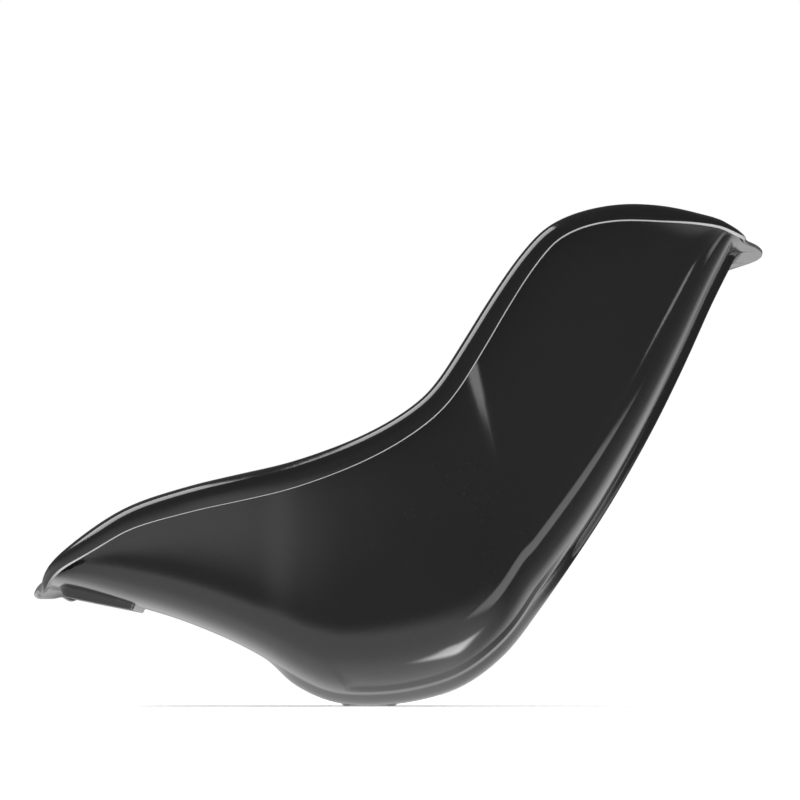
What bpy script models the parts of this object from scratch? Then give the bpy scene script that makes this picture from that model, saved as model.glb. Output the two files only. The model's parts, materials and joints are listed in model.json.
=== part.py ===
"""Racing bucket seat of the kart kind: a one-piece moulded shell with captive nut plates.

The seat faces -Y, its width runs along X and it stands reclined as it is fitted, on the flat
pad under its bowl at z = 0. Every length below is in millimetres until it is written out.
"""

import math
from typing import NamedTuple

import bmesh
import bpy
import numpy as np
from mathutils import Euler, Vector

MM = 0.001
GAP = 0.3  # clearance between touching pieces

# Shell sheet
SHEET = 3.2
SPAN_STEPS = 34  # grid steps from the nose to the top of the back
CORNER_STEPS = 6
WALL_STEPS = 3
WALL_DRAFT = 1.5  # how the wall's lean gathers towards its rim
FRAME_EASE = 14.0  # reach over which the rim's direction is evened out round a corner

# Raised spine that runs from under the bowl up the middle of the back
SPINE_HEIGHT = 7.0
SPINE_HALF_TOP = 44.0
SPINE_HALF_FOOT = 47.0
SPINE_FADE_START = -95.0  # y where it starts to leave the pan
SPINE_FADE_END = -55.0

# Front pad, a shallow box pressed out of the pan under the nose
FRONT_PAD_Y = (-259.0, -197.0)
FRONT_PAD_HALF = 75.0
FRONT_PAD_ORIGIN = (-226.0, 85.2)  # y, z of the middle of its flat underside
FRONT_PAD_SLOPE = math.radians(-11.3)
FRONT_PAD_CORNER = 8.0
PAN_MIDDLE_Z = 92.7  # height of the middle of the pan's sheet over the pad's middle
PAN_SLOPE = math.radians(-13.8)

# Rear pad, the flat at the bottom of the spine that the seat stands on
REAR_PAD_Y = (-25.0, 21.0)
REAR_PAD_HALF = 40.0
REAR_PAD_CORNER = 8.0
REAR_PAD_SINK = 0.6  # how far the flat's sheet stops short of the pocket above it
REAR_POCKET_INSET = 2.0
REAR_POCKET_TOP = 14.0
POCKET_FLOOR = 0.2  # how far the pocket's floor lies above the flat's sheet
POCKET_HEIGHT = 20.0

# Hardware
PLATE = 3.0
FRONT_PLATE_SIZE = (128.0, 42.0)
REAR_PLATE_SIZE = (70.0, 36.0)
PLATE_CORNER = 4.0
BOLT_HOLE = 8.6
FRONT_BOLT_X = 45.0
FRONT_ROW_Y = -3.0  # bolts and rivets of the front plate, ahead of its middle
REAR_BOLT_X = 14.0
NUT_ACROSS = 13.0
NUT_HIGH = 4.0
NUT_BORE = 7.2
RIVET_HOLE = 4.6
RIVET_SHANK = 4.0
RIVET_HEAD = 8.0
RIVET_DOME = 1.6
FRONT_RIVET_X = (22.0, 58.0)
REAR_RIVET_X = 28.0
REAR_RIVET_Y = 11.0
DRILL_LOW = -12.0  # reach of a drill below and above the pocket's floor
DRILL_HIGH = 6.0
DRILL_SIDES = 20
BORE_SIDES = 24
RIVET_SIDES = 16


class Station(NamedTuple):
    """One cross-section of the outer skin, from the centre plane up to the rim."""

    keel: tuple  # y, z on the centre plane, without the spine
    rim: tuple  # y, z at the top of the side wall
    foot: float  # half width where the corner ends
    top: float  # half width at the rim
    corner: float  # how far up the wall the rounded corner reaches
    power: float  # squareness of the corner
    sweep: float = 0.0  # how far behind its middle the section's sides lie


STATIONS = (
    Station((-268.0, 100.0), (-264.5, 110.0), 150.0, 151.0, 7.0, 2.3, 9.0),
    Station((-241.0, 95.2), (-239.0, 129.5), 157.0, 160.0, 22.0, 3.2, 6.0),
    Station((-206.0, 86.0), (-200.0, 153.2), 160.0, 168.0, 34.0, 3.6, 2.0),
    Station((-158.0, 71.4), (-147.6, 170.6), 162.0, 172.0, 40.0, 3.5),
    Station((-110.0, 51.2), (-105.0, 180.7), 163.0, 175.0, 46.0, 3.3),
    Station((-66.0, 26.5), (-66.0, 189.5), 164.0, 176.0, 53.0, 3.0),
    Station((-36.5, 11.1), (-37.8, 198.3), 165.0, 176.5, 60.0, 2.8),
    Station((0.0, 7.2), (-4.0, 211.7), 165.0, 176.5, 66.0, 2.7),
    Station((38.9, 11.4), (26.6, 228.2), 165.0, 176.5, 70.0, 2.7),
    Station((76.6, 23.9), (48.0, 244.4), 165.0, 176.5, 70.0, 2.7),
    Station((105.2, 45.8), (60.4, 258.8), 165.0, 176.5, 68.0, 2.7),
    Station((132.8, 80.8), (79.6, 288.4), 165.0, 176.0, 64.0, 2.8),
    Station((166.6, 129.2), (103.6, 326.8), 165.0, 175.0, 58.0, 2.9),
    Station((196.6, 175.4), (127.2, 360.4), 165.0, 174.0, 52.0, 3.0),
    Station((226.6, 228.0), (150.4, 383.4), 165.0, 173.0, 47.0, 3.2),
    Station((256.6, 288.2), (195.0, 398.1), 165.0, 172.0, 44.0, 3.4),
    Station((281.6, 343.4), (241.3, 398.4), 165.0, 171.0, 36.0, 3.7),
    Station((299.5, 378.7), (280.4, 390.4), 168.0, 169.0, 18.0, 3.1),
)


class Flange(NamedTuple):
    """Section of the turned-out rim: a bend out of the wall, a flat, a second bend, a skirt."""

    at: float  # share of the way from the middle of the nose to the middle of the rear edge
    bend: float
    bend_turn: float
    flat: float
    roll: float
    roll_turn: float
    skirt: float


FLANGES = (
    Flange(0.00, 12.0, 50.0, 0.5, 10.0, 30.0, 2.5),
    Flange(0.08, 10.0, 50.0, 0.5, 8.0, 32.0, 2.0),
    Flange(0.12, 7.5, 51.0, 0.5, 6.5, 36.0, 1.5),
    Flange(0.145, 6.5, 62.0, 1.5, 7.0, 46.0, 2.5),
    Flange(0.165, 6.0, 76.0, 3.0, 8.0, 58.0, 4.5),
    Flange(0.24, 5.0, 85.0, 5.0, 8.0, 78.0, 7.0),
    Flange(0.55, 5.0, 85.0, 5.0, 8.0, 80.0, 8.0),
    Flange(0.70, 5.0, 85.0, 5.0, 8.0, 78.0, 5.0),
    Flange(0.77, 5.0, 84.0, 5.0, 8.0, 72.0, 4.5),
    Flange(0.82, 5.0, 75.0, 2.5, 6.5, 40.0, 2.5),
    Flange(0.866, 4.5, 66.0, 2.0, 6.0, 24.0, 2.0),
    Flange(0.889, 5.0, 63.0, 5.5, 6.0, 16.0, 2.0),
    Flange(0.923, 6.0, 62.0, 13.5, 7.0, 10.0, 2.0),
    Flange(0.952, 6.0, 62.0, 20.0, 7.0, 8.0, 2.0),
    Flange(0.978, 6.0, 62.0, 24.0, 7.0, 6.0, 2.0),
    Flange(1.00, 6.0, 62.0, 25.0, 7.0, 6.0, 2.0),
)

BLACK_PLASTIC = ((0.012, 0.012, 0.013, 1.0), 0.18, 0.0)
ZINC_PLATE = ((0.62, 0.62, 0.60, 1.0), 0.38, 1.0)
ZINC_NUT = ((0.66, 0.65, 0.60, 1.0), 0.32, 1.0)
RIVET_ALLOY = ((0.70, 0.71, 0.72, 1.0), 0.35, 1.0)


def hermite(knots, values, at):
    """Smooth curve through values at knots, read at the given places."""
    slopes = np.gradient(values, knots, axis=0)
    index = np.clip(np.searchsorted(knots, at, side="right") - 1, 0, len(knots) - 2)
    step = (knots[index + 1] - knots[index])[:, None]
    t = ((at - knots[index])[:, None]) / step
    start, end = values[index], values[index + 1]
    rise, fall = slopes[index] * step, slopes[index + 1] * step
    return (
        (2 * t**3 - 3 * t**2 + 1) * start
        + (t**3 - 2 * t**2 + t) * rise
        + (3 * t**2 - 2 * t**3) * end
        + (t**3 - t**2) * fall
    )


def smooth_step(low, high, value):
    """0 below low, 1 above high, eased between them."""
    t = min(max((value - low) / (high - low), 0.0), 1.0)
    return t * t * (3 - 2 * t)


def stations_along():
    """The stations' numbers resampled evenly from the nose to the top of the back."""
    table = np.array([[*s.keel, *s.rim, *s[2:]] for s in STATIONS])
    travel = np.linalg.norm(np.diff(table[:, 0:2], axis=0), axis=1)
    travel += np.linalg.norm(np.diff(table[:, 2:4], axis=0), axis=1)
    knots = np.concatenate([[0.0], np.cumsum(travel)])
    return hermite(knots, table, np.linspace(0.0, knots[-1], SPAN_STEPS + 1))


def half_section(row):
    """Points (x, y, z) of one cross-section from the centre plane out to the rim."""
    keel, rim = Vector((0.0, row[0], row[1])), Vector((0.0, row[2], row[3]))
    foot, top, corner, power, sweep = row[4:9]
    up = (rim - keel).normalized()
    height = (rim - keel).length
    points = []
    for x in (0.0, SPINE_HALF_TOP / 2, SPINE_HALF_TOP, SPINE_HALF_FOOT, FRONT_PAD_HALF):
        rise = corner * (1 - (1 - (x / foot) ** power) ** (1 / power))
        points.append(keel + up * rise + Vector((x, 0.0, 0.0)))
    first = math.asin((FRONT_PAD_HALF / foot) ** (power / 2))
    for step in range(1, CORNER_STEPS + 1):
        turn = first + (math.pi / 2 - first) * step / CORNER_STEPS
        x = foot * math.sin(turn) ** (2 / power)
        rise = corner * (1 - max(math.cos(turn), 0.0) ** (2 / power))
        points.append(keel + up * rise + Vector((x, 0.0, 0.0)))
    for step in range(1, WALL_STEPS + 1):
        share = step / WALL_STEPS
        x = foot + (top - foot) * share**WALL_DRAFT
        rise = corner + (height - corner) * share
        points.append(keel + up * rise + Vector((x, 0.0, 0.0)))
    return [p + Vector((0.0, sweep * min(p.x / foot, 1.0) ** 2, 0.0)) for p in points]


def skin_grid():
    """Grid of outer-skin points, one row per cross-section from the left rim to the right."""
    grid = []
    for row in stations_along():
        half = half_section(row)
        mirrored = [Vector((-p.x, p.y, p.z)) for p in half[:0:-1]]
        grid.append(mirrored + half)
    return grid


def spine_lift(grid, row, column):
    """How far the spine raises one grid point."""
    point = grid[row][column]
    if abs(point.x) > SPINE_HALF_TOP + 0.1:
        return 0.0
    keel = grid[row][len(grid[0]) // 2]
    return SPINE_HEIGHT * smooth_step(SPINE_FADE_START, SPINE_FADE_END, keel.y)


def outward_normal(grid, row, column):
    """Outward direction of the skin at one grid point."""
    rows, columns = len(grid), len(grid[0])
    along = grid[min(row + 1, rows - 1)][column] - grid[max(row - 1, 0)][column]
    across = grid[row][min(column + 1, columns - 1)] - grid[row][max(column - 1, 0)]
    return along.cross(across).normalized()


def flange_section(at, lift):
    """Offsets (beyond the edge, outwards) of the turned-out rim at one share of the half loop.

    Where the spine lifts the edge, the bend grows so that the flat stays in the same plane.
    """
    keys = np.array(FLANGES)
    eased = hermite(keys[:, 0], keys[:, 1:], np.array([at]))[0]
    bend, bend_turn, flat, roll, roll_turn, skirt = (float(v) for v in eased)
    first, second = math.radians(bend_turn), math.radians(bend_turn + roll_turn)
    if lift > 0:
        growth = lift * math.cos(first) / (1 - math.cos(first))
        bend += growth
        flat -= (growth + lift) * math.sin(first)
    points = []
    for share in (0.5, 1.0):
        turn = first * share
        points.append(Vector((bend * math.sin(turn), bend * (1 - math.cos(turn)))))
    points.append(points[-1] + Vector((math.cos(first), math.sin(first))) * flat)
    flat_end = points[-1]
    for share in (0.5, 1.0):
        turn = first + (second - first) * share
        swing = Vector(
            (math.sin(turn) - math.sin(first), math.cos(first) - math.cos(turn))
        )
        points.append(flat_end + swing * roll)
    points.append(points[-1] + Vector((math.cos(second), math.sin(second))) * skirt)
    return points


def edge_loop(grid):
    """Row and column of every point round the open edge of the grid, from the nose's middle."""
    rows, columns = len(grid), len(grid[0])
    middle = columns // 2
    loop = [(0, c) for c in range(middle, columns)]
    loop += [(r, columns - 1) for r in range(1, rows)]
    loop += [(rows - 1, c) for c in range(columns - 2, -1, -1)]
    loop += [(r, 0) for r in range(rows - 2, -1, -1)]
    return loop + [(0, c) for c in range(1, middle)]


def half_shares(points):
    """For each point of the closed edge, its share of the way from the nose to the rear middle."""
    steps = [(points[i] - points[i - 1]).length for i in range(1, len(points))]
    run = np.concatenate([[0.0], np.cumsum(steps)])
    half = run[len(points) // 2]
    return [float(min(r / half, 2 - r / half)) for r in run]


def edge_frames(grid, loop):
    """Directions (beyond the edge, outwards) at every point of the closed edge, eased along it."""
    points = [grid[r][c] for r, c in loop]
    raw = []
    for i, (r, c) in enumerate(loop):
        along = (points[(i + 1) % len(loop)] - points[i - 1]).normalized()
        outward = outward_normal(grid, r, c)
        raw.append((outward.cross(along).normalized(), outward))
    spacing = [(points[(i + 1) % len(loop)] - points[i - 1]).length / 2 for i in range(len(loop))]
    frames = []
    for here in points:
        beyond, outward = Vector(), Vector()
        for there, weight, (far_beyond, far_outward) in zip(points, spacing, raw):
            share = weight * math.exp(-(((here - there).length / FRAME_EASE) ** 2))
            beyond += far_beyond * share
            outward += far_outward * share
        outward.normalize()
        frames.append(((beyond - outward * beyond.dot(outward)).normalized(), outward))
    return frames


def outer_skin():
    """Mesh of the outer skin: the grid and the turned-out rim round its edge."""
    grid = skin_grid()
    loop = edge_loop(grid)
    frames = edge_frames(grid, loop)
    shares = half_shares([grid[r][c] for r, c in loop])
    mesh = bmesh.new()
    rows = []
    for r, row in enumerate(grid):
        rows.append([])
        for c, point in enumerate(row):
            lifted = point + outward_normal(grid, r, c) * spine_lift(grid, r, c)
            rows[-1].append(mesh.verts.new(lifted))
    for lower, upper in zip(rows, rows[1:]):
        for c in range(len(lower) - 1):
            mesh.faces.new((lower[c], upper[c], upper[c + 1], lower[c + 1]))
    rings = [[rows[r][c]] for r, c in loop]
    for ring, (r, c), (beyond, outward), share in zip(rings, loop, frames, shares):
        for offset in flange_section(share, spine_lift(grid, r, c)):
            start = ring[0].co
            ring.append(mesh.verts.new(start + beyond * offset.x + outward * offset.y))
    for here, there in zip(rings, rings[1:] + rings[:1]):
        for k in range(len(here) - 1):
            mesh.faces.new((here[k], there[k], there[k + 1], here[k + 1]))
    mesh.normal_update()
    return mesh, [ring[-1] for ring in rings]


def thicken(mesh, edge):
    """Close the skin into a sheet by adding the inner skin and the strip round the edge."""
    mesh.verts.index_update()
    partners = []
    for v in list(mesh.verts):
        mean = sum((f.normal for f in v.link_faces), Vector()) / len(v.link_faces)
        partners.append(mesh.verts.new(v.co - mean * (SHEET / mean.length_squared)))
    for face in list(mesh.faces):
        mesh.faces.new([partners[v.index] for v in reversed(face.verts)])
    count = len(edge)
    for i in range(count):
        here, there = edge[i], edge[(i + 1) % count]
        mesh.faces.new((here, there, partners[there.index], partners[here.index]))
    bmesh.ops.recalc_face_normals(mesh, faces=mesh.faces)


def rounded_outline(half_x, low_y, high_y, radius, steps=3):
    """Points (x, y) round a rectangle with rounded corners, anticlockwise."""
    centres = (
        (half_x - radius, high_y - radius, 0),
        (-half_x + radius, high_y - radius, 90),
        (-half_x + radius, low_y + radius, 180),
        (half_x - radius, low_y + radius, 270),
    )
    outline = []
    for x, y, start in centres:
        for k in range(steps + 1):
            turn = math.radians(start + 90 * k / steps)
            outline.append((x + radius * math.cos(turn), y + radius * math.sin(turn)))
    return outline


def prism(outline, bottom, top):
    """Closed mesh between two heights over an outline; each height is a function of y."""
    mesh = bmesh.new()
    low = [mesh.verts.new((x, y, bottom(y))) for x, y in outline]
    high = [mesh.verts.new((x, y, top(y))) for x, y in outline]
    mesh.faces.new(low[::-1])
    mesh.faces.new(high)
    for i in range(len(outline)):
        j = (i + 1) % len(outline)
        mesh.faces.new((low[i], low[j], high[j], high[i]))
    return mesh


def lathe(profile, sides):
    """Closed mesh turned about Z from (radius, height) points whose ends are on the axis."""
    mesh = bmesh.new()
    rings = []
    for radius, height in profile[1:-1]:
        ring = []
        for k in range(sides):
            turn = 2 * math.pi * k / sides
            ring.append(
                mesh.verts.new((radius * math.cos(turn), radius * math.sin(turn), height))
            )
        rings.append(ring)
    foot = mesh.verts.new((0.0, 0.0, profile[0][1]))
    head = mesh.verts.new((0.0, 0.0, profile[-1][1]))
    for k in range(sides):
        j = (k + 1) % sides
        mesh.faces.new((foot, rings[0][j], rings[0][k]))
        mesh.faces.new((head, rings[-1][k], rings[-1][j]))
        for lower, upper in zip(rings, rings[1:]):
            mesh.faces.new((lower[k], lower[j], upper[j], upper[k]))
    return mesh


def tube(outer, inner, bottom, top, sides, bore_sides):
    """Closed ring with an outer outline of some sides and a round bore, bridged cap to cap."""
    mesh = bmesh.new()

    def ring(radius, height, count):
        points = []
        for k in range(count):
            turn = 2 * math.pi * k / count
            points.append(
                mesh.verts.new((radius * math.cos(turn), radius * math.sin(turn), height))
            )
        return points

    low, high = ring(outer, bottom, sides), ring(outer, top, sides)
    bore_low, bore_high = ring(inner, bottom, bore_sides), ring(inner, top, bore_sides)
    for k in range(sides):
        j = (k + 1) % sides
        mesh.faces.new((low[k], low[j], high[j], high[k]))
    for k in range(bore_sides):
        j = (k + 1) % bore_sides
        mesh.faces.new((bore_low[j], bore_low[k], bore_high[k], bore_high[j]))
    ratio = bore_sides // sides
    for k in range(sides):
        j = (k + 1) % sides
        inner_arc = [(k * ratio + m) % bore_sides for m in range(ratio + 1)]
        mesh.faces.new([high[k], high[j], *[bore_high[m] for m in reversed(inner_arc)]])
        mesh.faces.new([low[j], low[k], *[bore_low[m] for m in inner_arc]])
    return mesh


def place(mesh, slope, y, z):
    """Tilt a mesh about X and move it, in millimetres."""
    bmesh.ops.rotate(
        mesh, verts=mesh.verts, matrix=Euler((slope, 0.0, 0.0)).to_matrix()
    )
    bmesh.ops.translate(mesh, verts=mesh.verts, vec=Vector((0.0, y, z)))
    return mesh


def material(name, look):
    """Principled material from a (colour, roughness, metallic) look."""
    colour, roughness, metallic = look
    made = bpy.data.materials.new(name)
    made.use_nodes = True
    shader = made.node_tree.nodes["Principled BSDF"]
    shader.inputs["Base Color"].default_value = colour
    shader.inputs["Roughness"].default_value = roughness
    shader.inputs["Metallic"].default_value = metallic
    made.diffuse_color = colour
    return made


def add_object(name, mesh, made):
    """Object of this name from a millimetre mesh, in metres."""
    bmesh.ops.scale(mesh, verts=mesh.verts, vec=(MM, MM, MM))
    bmesh.ops.recalc_face_normals(mesh, faces=mesh.faces)
    data = bpy.data.meshes.new(name)
    mesh.to_mesh(data)
    mesh.free()
    if made is not None:
        data.materials.append(made)
    obj = bpy.data.objects.new(name, data)
    bpy.context.scene.collection.objects.link(obj)
    return obj


def cut(body, tool, operation):
    """Apply one Boolean to the body's own mesh and drop the tool."""
    change = body.modifiers.new(operation.lower(), "BOOLEAN")
    change.operation = operation
    change.solver = "EXACT"
    change.object = tool
    graph = bpy.context.evaluated_depsgraph_get()
    result = bpy.data.meshes.new_from_object(body.evaluated_get(graph))
    body.modifiers.clear()
    before = body.data
    name = before.name
    body.data = result
    bpy.data.meshes.remove(before)
    result.name = name
    bpy.data.objects.remove(tool)


def front_pad_bottom(y):
    """Height of the front pad's flat underside."""
    return FRONT_PAD_ORIGIN[1] + (y - FRONT_PAD_ORIGIN[0]) * math.tan(FRONT_PAD_SLOPE)


def pan_middle(y):
    """Height of the middle of the pan's sheet over the front pad."""
    return PAN_MIDDLE_Z + (y - FRONT_PAD_ORIGIN[0]) * math.tan(PAN_SLOPE)


def shape_front_pad(shell):
    """Press the front pad out of the pan: a boss below with a pocket above it."""
    low, high = FRONT_PAD_Y
    outline = rounded_outline(FRONT_PAD_HALF, low, high, FRONT_PAD_CORNER)
    boss = prism(outline, front_pad_bottom, pan_middle)
    cut(shell, add_object("boss", boss, None), "UNION")
    inset = rounded_outline(
        FRONT_PAD_HALF - SHEET, low + SHEET, high - SHEET, FRONT_PAD_CORNER - SHEET
    )
    pocket = prism(inset, lambda y: front_pad_bottom(y) + SHEET, lambda y: pan_middle(y) + POCKET_HEIGHT)
    cut(shell, add_object("pocket", pocket, None), "DIFFERENCE")


def shape_rear_pad(shell):
    """Flatten the spine under the bowl into the rear pad, and its inside for the plate."""
    low, high = REAR_PAD_Y
    outline = rounded_outline(REAR_PAD_HALF, low, high, REAR_PAD_CORNER)
    boss = prism(outline, lambda y: 0.0, lambda y: SHEET - REAR_PAD_SINK)
    cut(shell, add_object("boss", boss, None), "UNION")
    step = REAR_POCKET_INSET
    inset = rounded_outline(REAR_PAD_HALF - step, low + step, high - step, REAR_PAD_CORNER - step)
    pocket = prism(inset, lambda y: SHEET + POCKET_FLOOR, lambda y: REAR_POCKET_TOP)
    cut(shell, add_object("pocket", pocket, None), "DIFFERENCE")


def front_frame():
    """y and z of the front pad's pocket floor at its middle."""
    return FRONT_PAD_ORIGIN[0], FRONT_PAD_ORIGIN[1] + SHEET


def rear_frame():
    """y and z of the rear pad's pocket floor at its middle."""
    return sum(REAR_PAD_Y) / 2, SHEET + POCKET_FLOOR


def front_bolts():
    """Bolt centres (x, y) on the front plate, in the plate's own plane."""
    return [(-FRONT_BOLT_X, FRONT_ROW_Y), (FRONT_BOLT_X, FRONT_ROW_Y)]


def rear_bolts():
    """Bolt centres (x, y) on the rear plate, in the plate's own plane."""
    return [(-REAR_BOLT_X, 0.0), (REAR_BOLT_X, 0.0)]


def front_rivets():
    """Rivet centres (x, y) on the front plate, in the plate's own plane."""
    return [(x, FRONT_ROW_Y) for x in (-FRONT_RIVET_X[1], -FRONT_RIVET_X[0], *FRONT_RIVET_X)]


def rear_rivets():
    """Rivet centres (x, y) on the rear plate, in the plate's own plane."""
    return [(x, y) for x in (-REAR_RIVET_X, REAR_RIVET_X) for y in (-REAR_RIVET_Y, REAR_RIVET_Y)]


def placed(mesh, slope, frame, at):
    """Move a piece made at the origin to a point of a tilted plate's plane."""
    bmesh.ops.translate(mesh, verts=mesh.verts, vec=Vector((at[0], at[1], 0.0)))
    return place(mesh, slope, *frame)


def drill(shell, slope, frame, centres, diameter):
    """Cut round holes through the sheet under a plate."""
    for centre in centres:
        radius = diameter / 2
        profile = [(0, DRILL_LOW), (radius, DRILL_LOW), (radius, DRILL_HIGH), (0, DRILL_HIGH)]
        drillbit = lathe(profile, DRILL_SIDES)
        tool = add_object("drillbit", placed(drillbit, slope, frame, centre), None)
        cut(shell, tool, "DIFFERENCE")


def add_plate(name, size, slope, frame, bolts, rivets, made):
    """Nut plate with its bolt and rivet holes."""
    outline = rounded_outline(size[0] / 2, -size[1] / 2, size[1] / 2, PLATE_CORNER)
    plate = prism(outline, lambda y: GAP, lambda y: GAP + PLATE)
    body = add_object(name, plate, made)
    drill(body, 0.0, (0.0, 0.0), bolts, BOLT_HOLE)
    drill(body, 0.0, (0.0, 0.0), rivets, RIVET_HOLE)
    mesh = bmesh.new()
    mesh.from_mesh(body.data)
    bmesh.ops.scale(mesh, verts=mesh.verts, vec=(1 / MM, 1 / MM, 1 / MM))
    place(mesh, slope, *frame)
    bmesh.ops.scale(mesh, verts=mesh.verts, vec=(MM, MM, MM))
    mesh.to_mesh(body.data)
    mesh.free()


def add_nut(name, slope, frame, at, made):
    """Thin hexagon nut on top of a plate."""
    bottom = GAP + PLATE + GAP
    corner = NUT_ACROSS / 2 / math.cos(math.pi / 6)
    nut = tube(corner, NUT_BORE / 2, bottom, bottom + NUT_HIGH, 6, BORE_SIDES)
    add_object(name, placed(nut, slope, frame, at), made)


def add_rivet(name, slope, frame, at, floor, made):
    """Rivet with its foot flush under the pad and a domed head on the plate."""
    head = GAP + PLATE + GAP
    foot = GAP - floor
    profile = [
        (0.0, foot),
        (RIVET_SHANK / 2, foot),
        (RIVET_SHANK / 2, head),
        (RIVET_HEAD / 2, head),
        (RIVET_HEAD / 2 * 0.9, head + RIVET_DOME * 0.5),
        (RIVET_HEAD / 2 * 0.5, head + RIVET_DOME * 0.9),
        (0.0, head + RIVET_DOME),
    ]
    add_object(name, placed(lathe(profile, RIVET_SIDES), slope, frame, at), made)


def shade(obj, angle):
    """Smooth shading with sharp edges above an angle."""
    for face in obj.data.polygons:
        face.use_smooth = True
    obj.data.set_sharp_from_angle(angle=math.radians(angle))


def main():
    for obj in list(bpy.data.objects):
        bpy.data.objects.remove(obj, do_unlink=True)
    skin, edge = outer_skin()
    thicken(skin, edge)
    shell = add_object("seat_shell", skin, material("gloss_black", BLACK_PLASTIC))
    shape_front_pad(shell)
    shape_rear_pad(shell)
    drill(shell, FRONT_PAD_SLOPE, front_frame(), front_bolts(), BOLT_HOLE)
    drill(shell, FRONT_PAD_SLOPE, front_frame(), front_rivets(), RIVET_HOLE)
    drill(shell, 0.0, rear_frame(), rear_bolts(), BOLT_HOLE)
    drill(shell, 0.0, rear_frame(), rear_rivets(), RIVET_HOLE)

    plate_look = material("zinc_plate", ZINC_PLATE)
    nut_look = material("zinc_nut", ZINC_NUT)
    rivet_look = material("rivet_alloy", RIVET_ALLOY)
    groups = (
        ("front", FRONT_PLATE_SIZE, FRONT_PAD_SLOPE, front_frame(), front_bolts(),
         front_rivets(), SHEET * math.cos(FRONT_PAD_SLOPE)),
        ("rear", REAR_PLATE_SIZE, 0.0, rear_frame(), rear_bolts(), rear_rivets(), SHEET),
    )
    for end, size, slope, frame, bolts, rivets, floor in groups:
        add_plate(f"{end}_nut_plate", size, slope, frame, bolts, rivets, plate_look)
        for side, at in zip(("right", "left"), bolts):
            add_nut(f"{end}_nut_{side}", slope, frame, at, nut_look)
        for number, at in enumerate(rivets, start=1):
            add_rivet(f"{end}_rivet_{number}", slope, frame, at, floor, rivet_look)
    for obj in bpy.data.objects:
        shade(obj, 32.0)


main()
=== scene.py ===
"""Looks of a racing bucket seat: moulded gloss-black shell, riveted nut plates, soft studio.

The seat faces -Y, its width runs along X and +Z is up. Shapes are worked out in millimetres
and written to meshes in metres.
"""

import json
import logging
import math
from dataclasses import dataclass, field
from enum import Enum
from typing import Any, Iterable, NamedTuple, Sequence

import bmesh
import bpy
import numpy as np
from mathutils import Matrix, Vector


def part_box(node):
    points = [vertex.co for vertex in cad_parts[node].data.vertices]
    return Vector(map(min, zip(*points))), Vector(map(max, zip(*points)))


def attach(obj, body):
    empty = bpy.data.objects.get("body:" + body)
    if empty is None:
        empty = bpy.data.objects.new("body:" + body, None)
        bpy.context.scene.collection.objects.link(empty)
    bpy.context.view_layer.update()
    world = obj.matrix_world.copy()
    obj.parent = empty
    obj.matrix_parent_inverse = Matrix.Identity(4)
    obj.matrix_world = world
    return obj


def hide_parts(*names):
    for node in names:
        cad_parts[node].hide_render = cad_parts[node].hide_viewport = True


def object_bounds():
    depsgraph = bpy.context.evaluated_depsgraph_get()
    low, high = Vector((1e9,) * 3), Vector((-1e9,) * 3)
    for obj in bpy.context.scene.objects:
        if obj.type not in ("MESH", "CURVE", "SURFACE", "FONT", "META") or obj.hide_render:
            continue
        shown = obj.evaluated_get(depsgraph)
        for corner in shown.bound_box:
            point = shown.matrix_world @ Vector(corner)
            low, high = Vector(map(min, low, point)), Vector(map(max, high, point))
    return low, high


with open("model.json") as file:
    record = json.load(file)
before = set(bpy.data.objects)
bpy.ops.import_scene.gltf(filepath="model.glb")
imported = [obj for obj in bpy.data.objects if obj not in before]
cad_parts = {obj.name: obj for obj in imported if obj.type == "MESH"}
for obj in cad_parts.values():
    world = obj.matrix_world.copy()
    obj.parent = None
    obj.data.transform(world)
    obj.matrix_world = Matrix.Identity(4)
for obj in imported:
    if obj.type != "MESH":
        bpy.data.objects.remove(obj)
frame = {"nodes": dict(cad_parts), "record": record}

LOG = logging.getLogger("seat")
MM = 0.001
CAD_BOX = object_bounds()
RIGHT_ANGLE = math.pi / 2


# ----------------------------------------------------------------------------- shader maths


class Value:
    """A shader socket that takes part in Python arithmetic by adding Math nodes."""

    def __init__(self, tree: "ShaderTree", socket: bpy.types.NodeSocket) -> None:
        """Wrap one output socket of a tree."""
        self.tree = tree
        self.socket = socket

    def _maths(self, operation: str, first: Any, second: Any) -> "Value":
        """Add one Math node.

        Args:
            operation: name of the Math node's operation.
            first: a Value or a number.
            second: a Value or a number.

        Returns:
            The node's result.
        """
        made = self.tree.node(
            "ShaderNodeMath", {"operation": operation}, {"0": first, "1": second}
        )
        return Value(self.tree, made.outputs[0])

    def __add__(self, other: Any) -> "Value":
        """Sum."""
        return self._maths("ADD", self, other)

    def __radd__(self, other: Any) -> "Value":
        """Sum, reflected."""
        return self._maths("ADD", other, self)

    def __sub__(self, other: Any) -> "Value":
        """Difference."""
        return self._maths("SUBTRACT", self, other)

    def __rsub__(self, other: Any) -> "Value":
        """Difference, reflected."""
        return self._maths("SUBTRACT", other, self)

    def __mul__(self, other: Any) -> "Value":
        """Product."""
        return self._maths("MULTIPLY", self, other)

    def __rmul__(self, other: Any) -> "Value":
        """Product, reflected."""
        return self._maths("MULTIPLY", other, self)

    def at_most(self, other: Any) -> "Value":
        """The smaller of two values."""
        return self._maths("MINIMUM", self, other)

    def at_least(self, other: Any) -> "Value":
        """The larger of two values."""
        return self._maths("MAXIMUM", self, other)

    def unsigned(self) -> "Value":
        """The value without its sign."""
        return self._maths("ABSOLUTE", self, 0.0)


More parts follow.
